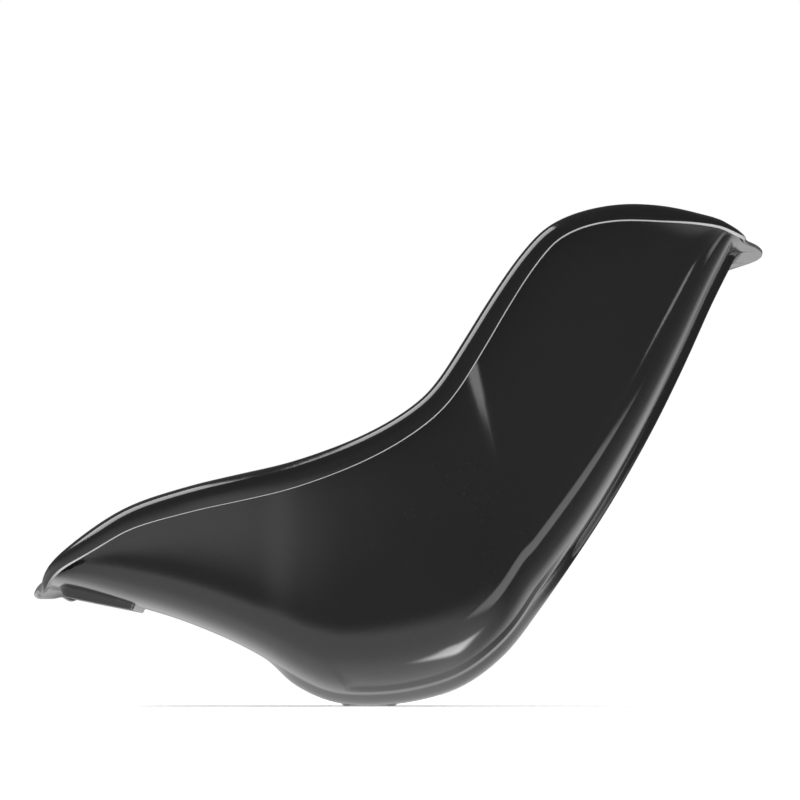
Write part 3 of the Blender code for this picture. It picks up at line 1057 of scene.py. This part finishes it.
    def _spine_share(self, travel: np.ndarray, across: np.ndarray, inset: float) -> np.ndarray:
        """How far the spine lifts grid places, 0 to 1.

        Args:
            travel: travels of the places.
            across: their x.
            inset: how much narrower to make the spine.

        Returns:
            The share for each.
        """
        keel_y = self.loft.rows(travel)[:, KEEL_Y]
        grown = eased(self.spine_start, self.spine_full, keel_y)
        narrow = eased(*self.belly_end, keel_y)
        low = self.spine_half - inset - self.spine_edge / 2
        high = low + self.spine_edge
        high = high + (self.belly_half - high) * (1 - narrow)
        share = np.clip((np.abs(across) - low) / (high - low), 0.0, 1.0)
        return grown * (1 - share * share * (3 - 2 * share))

    def _dish(self, points: np.ndarray, travel: np.ndarray, wall: np.ndarray) -> np.ndarray:
        """Depth of the shallow hollow along the lower corner, behind the pan.

        Args:
            points: places on the skin.
            travel: their travels.
            wall: their wall shares.

        Returns:
            How far the skin lies in, in millimetres.
        """
        x, y, z = np.abs(points[:, 0]), points[:, 1], points[:, 2]
        keel_y = self.loft.rows(travel)[:, KEEL_Y]
        front = y + 14.0 + 0.686 * (z - 8.0)
        share = eased(self.dish_x - 1.0, self.dish_x + 2.4, x)
        share = share * eased(-1.5, 3.5, front)
        share = share * (1 - eased(*self.dish_end, keel_y))
        return self.dish_depth * share * (1 - eased(*self.dish_wall, wall))

    def _skins(self) -> tuple[np.ndarray, np.ndarray, np.ndarray, dict[str, np.ndarray]]:
        """Outer and inner skins inside the rim.

        Returns:
            Outer points, inner points, normals, and the base numbers that the rim needs.
        """
        travel, across, wall, shape = self._places()
        base = self.loft.point(travel, across, wall)
        normal = self.loft.normal(travel, across, wall)
        outer_lift = self.spine_height * self._spine_share(travel, across, 0.0)
        inner_lift = self.spine_height * self._spine_share(travel, across, self.sheet * 0.85)
        dish = self._dish(base, travel, wall)
        normal = self._eased_normals(base, normal, shape)
        outer = base + normal * (outer_lift - dish)[:, None]
        inner = base + normal * (inner_lift - dish - self.sheet)[:, None]
        for pad in (self.front_pad, self.rear_pad):
            fall = math.cos(pad.slope)
            share = pad.share(outer, 0.0)
            outer[:, 2] += share * (pad.floor(outer[:, 1]) - outer[:, 2])
            share = pad.share(inner, self.sheet)
            inner[:, 2] += share * (pad.floor(inner[:, 1]) + self.sheet / fall - inner[:, 2])
        kept = {
            "base": base.reshape(*shape, 3),
            "outer_lift": outer_lift.reshape(shape),
            "inner_lift": inner_lift.reshape(shape),
        }
        return outer.reshape(*shape, 3), inner.reshape(*shape, 3), normal.reshape(*shape, 3), kept

    def _loop(self, shape: tuple[int, int]) -> tuple[np.ndarray, np.ndarray]:
        """Rows and columns of the grid's edge, from the nose's middle round and back.

        Args:
            shape: rows and columns of the grid.

        Returns:
            The rows and the columns.
        """
        rows, columns = shape
        middle = columns // 2
        order = [(0, c) for c in range(middle, columns)]
        order += [(r, columns - 1) for r in range(1, rows)]
        order += [(rows - 1, c) for c in range(columns - 2, -1, -1)]
        order += [(r, 0) for r in range(rows - 2, -1, -1)]
        order += [(0, c) for c in range(1, middle)]
        r, c = np.array(order).T
        return r, c

    def _nearby(self, loop: np.ndarray) -> np.ndarray:
        """Weights that even out values round the grid's edge.

        Args:
            loop: points round the edge.

        Returns:
            One row of weights for each point, larger for its neighbours.
        """
        step = np.linalg.norm(np.roll(loop, -1, axis=0) - np.roll(loop, 1, axis=0), axis=1)
        apart = np.linalg.norm(loop[:, None] - loop[None], axis=2)
        return np.exp(-((apart / self.frame_ease) ** 2)) * step[None]

    def _eased_normals(
        self, base: np.ndarray, normal: np.ndarray, shape: tuple[int, int]
    ) -> np.ndarray:
        """Even out the outward directions round the edge and near the four corners.

        Args:
            base: points of the grid.
            normal: their outward directions.
            shape: rows and columns of the grid.

        Returns:
            The evened directions.
        """
        r, c = self._loop(shape)
        points, field_ = base.reshape(*shape, 3), normal.reshape(*shape, 3).copy()
        loop = points[r, c]
        field_[r, c] = unit(self._nearby(loop) @ field_[r, c])
        corners = points[[0, 0, -1, -1], [0, -1, 0, -1]]
        away = np.linalg.norm(points[:, :, None] - corners, axis=3)
        near = np.min(away, axis=2) < self.corner_reach
        near[[0, -1], :] = False
        near[:, [0, -1]] = False
        for _ in range(self.corner_passes):
            mean = field_[:-2, 1:-1] + field_[2:, 1:-1] + field_[1:-1, :-2] + field_[1:-1, 2:]
            inside = near[1:-1, 1:-1, None]
            field_[1:-1, 1:-1] = np.where(inside, mean / 4, field_[1:-1, 1:-1])
        return unit(field_).reshape(-1, 3)

    def _rim_sections(
        self, shares: np.ndarray, lifts: np.ndarray
    ) -> tuple[np.ndarray, np.ndarray]:
        """Offsets of the turned-out rim in its own plane.

        Where the spine lifts the edge, the bend grows so that the flat stays in one plane.

        Args:
            shares: place of each section, 0 at the nose to 1 at the rear.
            lifts: how far the spine lifts the edge there.

        Returns:
            Points (beyond, outward) and directions of travel along the section.
        """
        keys = np.array(FLANGES)
        bend, bend_turn, flat, roll, roll_turn, skirt = through(
            keys[:, 0], keys[:, 1:], shares
        ).T
        first = np.radians(bend_turn)
        second = np.radians(bend_turn + roll_turn)
        growth = lifts * np.cos(first) / (1 - np.cos(first))
        bend = bend + growth
        flat = flat - (growth + lifts) * np.sin(first)
        points, turns = [], []
        for share in np.linspace(0.0, 1.0, self.bend_steps + 1)[1:]:
            turn = first * share
            points.append((bend * np.sin(turn), bend * (1 - np.cos(turn))))
            turns.append(turn)
        x, y = points[-1]
        x, y = x + np.cos(first) * flat, y + np.sin(first) * flat
        points.append((x, y))
        turns.append(first)
        for share in np.linspace(0.0, 1.0, self.roll_steps + 1)[1:]:
            turn = first + (second - first) * share
            points.append(
                (
                    x + roll * (np.sin(turn) - np.sin(first)),
                    y + roll * (np.cos(first) - np.cos(turn)),
                )
            )
            turns.append(turn)
        x, y = points[-1]
        length = skirt - self.edge_round
        points.append((x + np.cos(second) * length, y + np.sin(second) * length))
        turns.append(second)
        return np.array(points).transpose(2, 0, 1), np.array(turns).T

    def _rim(
        self, loop: np.ndarray, normals: np.ndarray, lifts: tuple[np.ndarray, np.ndarray]
    ) -> tuple[np.ndarray, np.ndarray]:
        """Rings of the turned-out rim, outer skin first, round the cut edge, then inner skin.

        Args:
            loop: points of the base skin round its edge.
            normals: outward directions there.
            lifts: the spine's lift of the outer and the inner skin there.

        Returns:
            Points (place on the loop, ring, 3) and the share of painted highlight on the cut edge
            of each.
        """
        ahead, behind = np.roll(loop, -1, axis=0), np.roll(loop, 1, axis=0)
        along = unit(ahead - behind)
        beyond = unit(np.cross(normals, along))
        beyond = self._nearby(loop) @ beyond
        beyond -= normals * np.sum(beyond * normals, axis=1)[:, None]
        beyond = unit(beyond)
        steps = np.linalg.norm(ahead - loop, axis=1)
        run = np.concatenate([[0.0], np.cumsum(steps)[:-1]])
        half = steps.sum() / 2
        shares = np.minimum(run / half, 2 - run / half)
        outer, inner, edge = [], [], []
        for lift, offset, rings in ((lifts[0], 0.0, outer), (lifts[1], self.sheet, inner)):
            section, turns = self._rim_sections(shares, lift)
            for k in range(section.shape[1]):
                x = section[:, k, 0] + np.sin(turns[:, k]) * offset
                y = section[:, k, 1] - np.cos(turns[:, k]) * offset + lift
                rings.append(loop + beyond * x[:, None] + normals * y[:, None])
        end = turns[:, -1]
        ahead_x, ahead_y = np.cos(end), np.sin(end)
        side_x, side_y = np.sin(end), -np.cos(end)
        radius = self.edge_round
        for step in (0.33, 0.67, 1.0, 1.5, 2.0, 2.33, 2.67):
            turn = min(step, 1.0) * RIGHT_ANGLE + max(step - 2.0, 0.0) * RIGHT_ANGLE
            reach = radius * math.sin(min(turn, RIGHT_ANGLE))
            depth = radius * (1 - math.cos(min(turn, RIGHT_ANGLE)))
            if step > 2.0:
                reach = radius * math.cos((step - 2.0) * RIGHT_ANGLE)
                depth = self.sheet - radius * (1 - math.sin((step - 2.0) * RIGHT_ANGLE))
            elif step > 1.0:
                depth = radius + (self.sheet - 2 * radius) * (step - 1.0)
            x = ahead_x * reach + side_x * depth
            y = ahead_y * reach + side_y * depth
            edge.append(outer[-1] + beyond * x[:, None] + normals * y[:, None])
        rings = outer + edge + inner[::-1]
        cut = [0.0] * len(outer) + [1.0] * len(edge) + [0.0] * len(inner)
        # Painted highlight on the cut edge, faded out near the nose and the rear where the edge
        # does not face down to the light.
        bare = eased(*self.edge_highlight_span[:2], shares) * (1 - eased(*self.edge_highlight_span[2:], shares))
        return np.stack(rings, axis=1), bare[:, None] * np.array(cut)

    def _mesh(self) -> bpy.types.Object:
        """Join the skins, the rim and the cut edge into one closed mesh.

        Returns:
            The shell without its holes.
        """
        outer, inner, normal, kept = self._skins()
        rows, columns = outer.shape[:2]
        r, c = self._loop((rows, columns))
        lifts = (kept["outer_lift"][r, c], kept["inner_lift"][r, c])
        rings, cut = self._rim(kept["base"][r, c], normal[r, c], lifts)
        size = rows * columns
        numbers = np.arange(size).reshape(rows, columns)
        squares = np.stack(
            [numbers[:-1, :-1], numbers[1:, :-1], numbers[1:, 1:], numbers[:-1, 1:]], axis=-1
        ).reshape(-1, 4)
        faces = [squares, squares[:, ::-1] + size]
        ring_numbers = np.arange(rings.shape[0] * rings.shape[1]).reshape(rings.shape[:2])
        ring_numbers = ring_numbers + 2 * size
        strip = np.column_stack([numbers[r, c], ring_numbers, numbers[r, c] + size])
        there = np.roll(strip, -1, axis=0)
        band = np.stack([strip[:, :-1], there[:, :-1], there[:, 1:], strip[:, 1:]], axis=-1)
        faces.append(band.reshape(-1, 4))
        points = np.concatenate([part.reshape(-1, 3) for part in (outer, inner, rings)])
        every_face = np.concatenate(faces).tolist()
        shell = new_object(self.name, points, every_face, self.shade_below)
        # Share of painted highlight on the cut edge, read by the shell's material.
        edge = shell.data.attributes.new("cut_edge", "FLOAT", "POINT")
        values = np.concatenate([np.zeros(2 * size), cut.reshape(-1)])
        edge.data.foreach_set("value", values.astype(np.float32))
        return shell

    def _drill(self, shell: bpy.types.Object, holes: Sequence["Hole"]) -> None:
        """Cut the bolt and rivet holes.

        Args:
            shell: the shell to cut.
            holes: where they go.
        """
        tools = []
        for number, hole in enumerate(holes):
            radius = hole.diameter / 2
            bit = turned(f"bit_{number}", ((0, -9), (radius, -9), (radius, 7), (0, 7)), 32)
            bit.data.transform(hole.matrix)
            tools.append(bit)
        joined = bmesh.new()
        for bit in tools:
            joined.from_mesh(bit.data)
            bpy.data.objects.remove(bit)
        data = bpy.data.meshes.new("bits")
        joined.to_mesh(data)
        joined.free()
        cutter = linked("bits", data)
        change = shell.modifiers.new("holes", "BOOLEAN")
        change.operation = "DIFFERENCE"
        change.solver = "EXACT"
        change.object = cutter
        baked(shell)
        bpy.data.objects.remove(cutter)

    def build(self, holes: Sequence["Hole"]) -> bpy.types.Object:
        """Make the shell and dress it.

        Args:
            holes: bolt and rivet holes through the pads.

        Returns:
            The finished piece.
        """
        shell = self._mesh()
        self._drill(shell, holes)
        shade(shell, self.shade_below)
        ride_root(shell, GlossBlack().build(), ["seat_shell"])
        return shell


# --------------------------------------------------------------------------------- hardware


@dataclass(frozen=True)
class Hole:
    """A round hole through a pad, given by its diameter and the pad's frame at its centre."""

    diameter: float
    matrix: Matrix


def node_centre(node: str) -> Vector:
    """Middle of a CAD node's box."""
    low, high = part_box(node)
    return (low + high) / 2


def pad_tilt(mount: str) -> float:
    """Slope of a pad about X, from the record's mount.

    Args:
        mount: name of the mount on the pad.

    Returns:
        The angle in radians.
    """
    for entry in frame["record"]["mounts"]:
        if entry.get("id", entry.get("name")) == mount:
            axis = entry["axis"]
            return math.atan2(axis[1], -axis[2])
    return 0.0


@dataclass
class FastenerRow:
    """Equal fasteners on one pad, set out with Geometry Nodes."""

    name: str
    nodes: tuple[str, ...]
    tilt: float
    tone: PlatingTone
    slot: str
    turn_spread: float
    seed: int

    def _tree(self, pattern: bpy.types.Object, material: bpy.types.Material) -> Any:
        """Node tree that sets a pattern piece on points.

        Args:
            pattern: the piece to repeat.
            material: the finish to give it.

        Returns:
            The tree.
        """
        tree = bpy.data.node_groups.new(f"{self.name}_layout", "GeometryNodeTree")
        inputs = {
            "Points": "Geometry", "Tilt": "Float", "Turn Spread": "Float", "Size": "Float",
            "Seed": "Int",
        }
        for label, kind in inputs.items():
            tree.interface.new_socket(label, in_out="INPUT", socket_type=f"NodeSocket{kind}")
        tree.interface.new_socket(
            "Geometry", in_out="OUTPUT", socket_type="NodeSocketGeometry"
        )
        nodes = tree.nodes
        start, end = nodes.new("NodeGroupInput"), nodes.new("NodeGroupOutput")
        piece = nodes.new("GeometryNodeObjectInfo")
        piece.inputs["Object"].default_value = pattern
        chance = nodes.new("FunctionNodeRandomValue")
        chance.data_type = "FLOAT"
        least, most = (s for s in chance.inputs if s.type == "VALUE" and s.enabled)
        least.default_value = 0.0
        drawn = next(s for s in chance.outputs if s.type == "VALUE" and s.enabled)
        turn, lean = nodes.new("ShaderNodeCombineXYZ"), nodes.new("ShaderNodeCombineXYZ")
        placed = nodes.new("GeometryNodeInstanceOnPoints")
        spun = nodes.new("GeometryNodeRotateInstances")
        spun.inputs["Local Space"].default_value = True
        real = nodes.new("GeometryNodeRealizeInstances")
        dressed = nodes.new("GeometryNodeSetMaterial")
        dressed.inputs["Material"].default_value = material
        for source, target in (
            (start.outputs["Turn Spread"], most),
            (start.outputs["Seed"], chance.inputs["Seed"]),
            (drawn, turn.inputs["Z"]),
            (start.outputs["Tilt"], lean.inputs["X"]),
            (start.outputs["Points"], placed.inputs["Points"]),
            (piece.outputs["Geometry"], placed.inputs["Instance"]),
            (lean.outputs["Vector"], placed.inputs["Rotation"]),
            (start.outputs["Size"], placed.inputs["Scale"]),
            (placed.outputs["Instances"], spun.inputs["Instances"]),
            (turn.outputs["Vector"], spun.inputs["Rotation"]),
            (spun.outputs["Instances"], real.inputs["Geometry"]),
            (real.outputs["Geometry"], dressed.inputs["Geometry"]),
            (dressed.outputs["Geometry"], end.inputs["Geometry"]),
        ):
            tree.links.new(source, target)
        return tree

    def build(self, pattern: bpy.types.Object, places: Sequence[Vector]) -> bpy.types.Object:
        """Repeat a pattern piece at places.

        Args:
            pattern: a piece made at the origin, upright; it is removed afterwards.
            places: where its origin goes, in metres.

        Returns:
            The finished piece.
        """
        data = bpy.data.meshes.new(self.name)
        data.from_pydata([tuple(p) for p in places], [], [])
        obj = linked(self.name, data)
        material = PLATINGS[self.tone].build()
        tree = self._tree(pattern, material)
        change = obj.modifiers.new("layout", "NODES")
        change.node_group = tree
        values = {
            "Tilt": self.tilt, "Turn Spread": self.turn_spread, "Size": 1.0, "Seed": self.seed
        }
        for item in tree.interface.items_tree:
            if item.in_out == "INPUT" and item.name in values:
                change[item.identifier] = values[item.name]
        baked(obj)
        bpy.data.objects.remove(pattern)
        shade(obj, 28.0)
        ride_root(obj, material, self.nodes)
        return obj


@dataclass
class HexNut:
    """Thin hexagon nut with chamfered corners and a threaded bore."""

    across: float = 13.0
    high: float = 4.0
    bore: float = 3.6
    thread: float = 0.42
    pitch: float = 1.25
    sides: int = 72

    def build(self) -> bpy.types.Object:
        """Make the nut upright, its underside at the origin.

        Returns:
            The pattern object.
        """
        turn = np.linspace(0.0, 2 * math.pi, self.sides, endpoint=False)
        sector = (turn % (math.pi / 3)) - math.pi / 6
        hexagon = self.across / 2 / np.cos(sector)
        face = np.full(self.sides, self.across / 2 * 0.95)
        drop = (hexagon - face) / math.tan(math.radians(60.0))
        rings = [(face, np.zeros(self.sides)), (hexagon, drop), (hexagon, self.high - drop)]
        rings.append((face, np.full(self.sides, self.high)))
        mouth = self.bore + self.thread + 0.25
        rings.append((np.full(self.sides, mouth), np.full(self.sides, self.high)))
        steps = int((self.high - 0.8) / self.pitch * 6)
        for k in range(steps + 1):
            height = self.high - 0.4 - (self.high - 0.8) * k / steps
            wave = 0.5 - 0.5 * np.cos(turn + 2 * math.pi * height / self.pitch)
            rings.append((self.bore + self.thread * wave, np.full(self.sides, height)))
        rings.append((np.full(self.sides, mouth), np.zeros(self.sides)))
        points = np.concatenate(
            [np.stack([r * np.cos(turn), r * np.sin(turn), h], axis=1) for r, h in rings]
        )
        faces = []
        for ring in range(len(rings)):
            below = ((ring + 1) % len(rings)) * self.sides
            for k in range(self.sides):
                j = (k + 1) % self.sides
                faces.append((ring * self.sides + k, ring * self.sides + j, below + j, below + k))
        return new_object("nut_pattern", points, faces, 28.0)


@dataclass
class DomeRivet:
    """Blind rivet: a domed head with its drawn pin, on a shank through the pad."""

    head: float = 8.0
    dome: float = 1.6
    shank: float = 4.0
    reach: float = 6.5
    pin: float = 1.9

    def build(self) -> bpy.types.Object:
        """Make the rivet upright, the underside of its head at the origin.

        Returns:
            The pattern object.
        """
        radius, pin = self.head / 2, self.pin / 2
        profile = [(0.0, -self.reach), (self.shank / 2 - 0.3, -self.reach)]
        profile += [(self.shank / 2, -self.reach + 0.3), (self.shank / 2, 0.0), (radius, 0.0)]
        for k in range(1, 7):
            turn = RIGHT_ANGLE * k / 7
            width = radius * math.cos(turn) ** 0.8
            if width > pin + 0.25:
                profile.append((width, 0.15 + (self.dome - 0.15) * math.sin(turn)))
        profile += [(pin + 0.12, self.dome * 0.97), (pin, self.dome * 0.72)]
        profile += [(pin - 0.12, self.dome * 0.78), (0.0, self.dome * 0.80)]
        return turned("rivet_pattern", profile, 36)


@dataclass
class NutPlateSet:
    """Captive plate on one pad with its nuts and rivets."""

    end: str
    mount: str
    bolt_hole: float = 8.6
    rivet_hole: float = 4.6
    bevel: float = 0.35
    sides: tuple[str, str] = ("left", "right")

    def rivet_nodes(self) -> tuple[str, ...]:
        """Names of the CAD rivets on this pad."""
        return tuple(f"{self.end}_rivet_{number}" for number in (1, 2, 3, 4))

    def nut_nodes(self) -> tuple[str, ...]:
        """Names of the CAD nuts on this pad."""
        return tuple(f"{self.end}_nut_{side}" for side in self.sides)

    def holes(self) -> list[Hole]:
        """Holes through the pad under the nuts and the rivets.

        Returns:
            One Hole for each fastener, in millimetres.
        """
        lean = Matrix.Rotation(pad_tilt(self.mount), 4, "X")
        found = []
        for nodes, diameter in (
            (self.nut_nodes(), self.bolt_hole), (self.rivet_nodes(), self.rivet_hole)
        ):
            for node in nodes:
                found.append(Hole(diameter, Matrix.Translation(node_centre(node)) @ lean))
        return found

    def _plate(self) -> bpy.types.Object:
        """Copy the CAD plate, merge it and break its edges.

        Returns:
            The plate.
        """
        source = frame["nodes"][f"{self.end}_nut_plate"]
        copy = bmesh.new()
        copy.from_mesh(source.data)
        bmesh.ops.remove_doubles(copy, verts=copy.verts, dist=0.00001)
        bmesh.ops.dissolve_limit(
            copy, angle_limit=math.radians(2.0), verts=copy.verts, edges=copy.edges
        )
        data = bpy.data.meshes.new(f"{self.end}_captive_plate")
        copy.to_mesh(data)
        copy.free()
        plate = linked(f"{self.end}_captive_plate", data)
        broken = plate.modifiers.new("broken_edges", "BEVEL")
        broken.width = self.bevel * MM
        broken.segments = 2
        broken.limit_method = "ANGLE"
        broken.angle_limit = math.radians(50.0)
        baked(plate)
        shade(plate, 28.0)
        return plate

    def build(self) -> None:
        """Make the plate, the nuts and the rivets and dress them."""
        plate = self._plate()
        ride_root(
            plate,
            PLATINGS[PlatingTone.ZINC_SHEET].build(),
            [f"{self.end}_nut_plate"],
        )
        tilt = pad_tilt(self.mount)
        up = Matrix.Rotation(tilt, 3, "X") @ Vector((0.0, 0.0, 1.0))
        nut = HexNut()
        places = [node_centre(n) - up * (nut.high / 2 * MM) for n in self.nut_nodes()]
        nuts = FastenerRow(
            f"{self.end}_thin_nuts", self.nut_nodes(), tilt, PlatingTone.ZINC_NUT,
            "zinc_nut", 0.0, 3,
        )
        nuts.build(nut.build(), places)
        rivet = DomeRivet()
        places = []
        for node in self.rivet_nodes():
            low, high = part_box(node)
            tall = (high.z - low.z) - abs(math.sin(tilt)) * rivet.shank * MM
            middle = (low + high) / 2
            places.append(middle + up * (tall / 2 / math.cos(tilt) - rivet.dome * MM))
        rivets = FastenerRow(
            f"{self.end}_rivets", self.rivet_nodes(), tilt, PlatingTone.ALLOY,
            "rivet_alloy", math.tau, 11,
        )
        rivets.build(rivet.build(), places)


# ----------------------------------------------------------------------------------- studio


@dataclass
class Card:
    """Flat panel that glows evenly and is seen in reflections only."""

    name: str
    centre: tuple[float, float, float]
    aim: tuple[float, float, float]
    size: tuple[float, float]
    strength: float
    soft: float = 0.0

    def build(self) -> bpy.types.Object:
        """Make the card.

        Returns:
            The card's object.
        """
        data = bpy.data.meshes.new(self.name)
        w, h = self.size[0] / 2, self.size[1] / 2
        data.from_pydata([(-w, -h, 0), (w, -h, 0), (w, h, 0), (-w, h, 0)], [], [(0, 1, 2, 3)])
        card = linked(self.name, data)
        aim_at(card, self.centre, self.aim)
        made, tree = new_material(f"{self.name}_glow")
        glow = tree.node(
            "ShaderNodeEmission", {}, {"Color": grey(1.0), "Strength": self.strength}
        )
        surface = glow.outputs["Emission"]
        if self.soft > 0:
            place = tree.node(
                "ShaderNodeSeparateXYZ", {}, {"Vector": tree.object_place()}
            )
            fade = None
            for axis, half in (("X", w), ("Y", h)):
                span = Value(tree, place.outputs[axis])
                away = span.unsigned()
                rim = (half - away) * (1.0 / (self.soft * half))
                part = rim.at_least(0.0).at_most(1.0)
                part = part * part * (3.0 - 2.0 * part)
                fade = part if fade is None else fade * part
            clear = tree.node("ShaderNodeBsdfTransparent", {}, {})
            mixed = tree.node(
                "ShaderNodeMixShader", {}, {"0": fade, "1": clear.outputs[0], "2": surface}
            )
            surface = mixed.outputs[0]
        tree.node("ShaderNodeOutputMaterial", {}, {"Surface": surface})
        data.materials.append(made)
        for kind in ("camera", "diffuse", "shadow", "transmission"):
            setattr(card, f"visible_{kind}", False)
        return card


@dataclass
class Studio:
    """Pale floor, white surround, soft lights and the camera."""

    eye: tuple[float, float, float] = (3.5, 0.0238, 0.0136)
    target: tuple[float, float, float] = (0.0, 0.0238, 0.260)
    lens: float = 185.3
    floor_size: float = 14.0
    surround: float = 1.0
    floor_lift: float = 0.35
    base_glow: float = 0.21
    front_glow: float = 0.95
    behind_glow: float = 0.42
    above_dim: float = 0.11

    def _floor(self) -> None:
        """Lay the floor under the seat."""
        low = CAD_BOX[0].z
        half = self.floor_size / 2
        data = bpy.data.meshes.new("studio_floor")
        corners = [(-half, -half, low), (half, -half, low), (half, half, low), (-half, half, low)]
        data.from_pydata(corners, [], [(0, 1, 2, 3)])
        floor = linked("studio_floor", data)
        made, tree = new_material("pale_floor")
        mottle = tree.noise(tree.object_place(), 3.0, 2.0)
        tree.principled(
            {
                "Base Color": tree.blend(mottle, grey(0.90), grey(0.93)),
                "Roughness": 0.9,
                "Specular IOR Level": 0.0,
                "Emission Color": grey(1.0),
                "Emission Strength": self.floor_lift,
            }
        )
        data.materials.append(made)
        floor.visible_glossy = False

    def _surround(self) -> None:
        """Plain white surround whose reflection is bright below and in front, dim elsewhere."""
        world = bpy.data.worlds.new("white_surround")
        bpy.context.scene.world = world
        tree = ShaderTree(world)
        way = tree.node("ShaderNodeTexCoord", {}, {}).outputs["Generated"]
        parts = tree.node("ShaderNodeSeparateXYZ", {}, {"Vector": way})
        x, y, z = (Value(tree, parts.outputs[axis]) for axis in "XYZ")
        under = y * -0.55 + z * -0.83
        lit = tree.smooth(0.04, 0.40, under)
        behind = tree.smooth(0.76, 0.95, x * -1.0) * tree.smooth(0.0, 0.07, z * -1.0)
        above = tree.smooth(0.05, 0.45, z)
        far = tree.smooth(0.20, 0.90, x * -1.0)
        glow = self.base_glow + lit * self.front_glow * (1.0 - far * 0.5)
        glow = glow + behind * (1.0 - lit) * self.behind_glow - above * self.above_dim
        path = tree.node("ShaderNodeLightPath", {}, {})
        glossy = Value(tree, path.outputs["Is Glossy Ray"])
        strength = glossy * glow + (1.0 - glossy) * self.surround
        back = tree.node(
            "ShaderNodeBackground", {}, {"Color": grey(1.0), "Strength": strength}
        )
        tree.node("ShaderNodeOutputWorld", {}, {"Surface": back.outputs["Background"]})

    def _lamp(
        self,
        name: str,
        place: tuple[float, float, float],
        aim: tuple[float, float, float],
        size: tuple[float, float],
        power: float,
    ) -> None:
        """Add a rectangular soft light.

        Args:
            name: the light's name.
            place: where it stands.
            aim: the point it faces.
            size: width and height.
            power: watts.
        """
        data = bpy.data.lights.new(name, "AREA")
        data.shape = "RECTANGLE"
        data.size, data.size_y = size
        data.energy = power
        lamp = linked(name, data)
        aim_at(lamp, place, aim)
        lamp.visible_camera = False

    def _camera(self) -> None:
        """Set up the camera."""
        data = bpy.data.cameras.new("camera")
        data.sensor_width = 36.0
        data.lens = self.lens
        data.clip_end = 50.0
        camera = linked("camera", data)
        aim_at(camera, self.eye, self.target)
        bpy.context.scene.camera = camera

    def build(self) -> None:
        """Put the whole studio up."""
        self._floor()
        self._surround()
        self._camera()
        self._lamp("overhead_box", (0.1, -1.5, 2.1), (0.0, 0.0, 0.2), (1.7, 1.5), 52.0)
        cards = (
            Card("side_window", (1.286, 0.74, 0.25), (0.17, 0.27, 0.36), (0.22, 0.10), 4.2),
            Card("low_panel", (-0.24, 0.42, -0.67), (0.12, 0.10, 0.03), (0.35, 0.5), 6.0, 0.6),
            Card("rear_panel", (0.72, 1.22, -0.69), (0.15, 0.10, 0.12), (0.9, 0.9), 2.6, 0.3),
        )
        for card in cards:
            card.build()
        bpy.context.scene.view_settings.view_transform = "Standard"
        LOG.info("studio: floor, surround, camera, 1 lamp, %d cards", len(cards))


# ------------------------------------------------------------------------------------- main


def main() -> None:
    """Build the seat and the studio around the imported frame."""
    logging.basicConfig(level=logging.INFO, format="%(name)s: %(message)s")
    sets = (NutPlateSet("front", "front_pad"), NutPlateSet("rear", "rear_pad"))
    holes = [hole for plates in sets for hole in plates.holes()]
    SeatShell().build(holes)
    for plates in sets:
        plates.build()
    Studio().build()


if __name__ == "__main__":
    main()
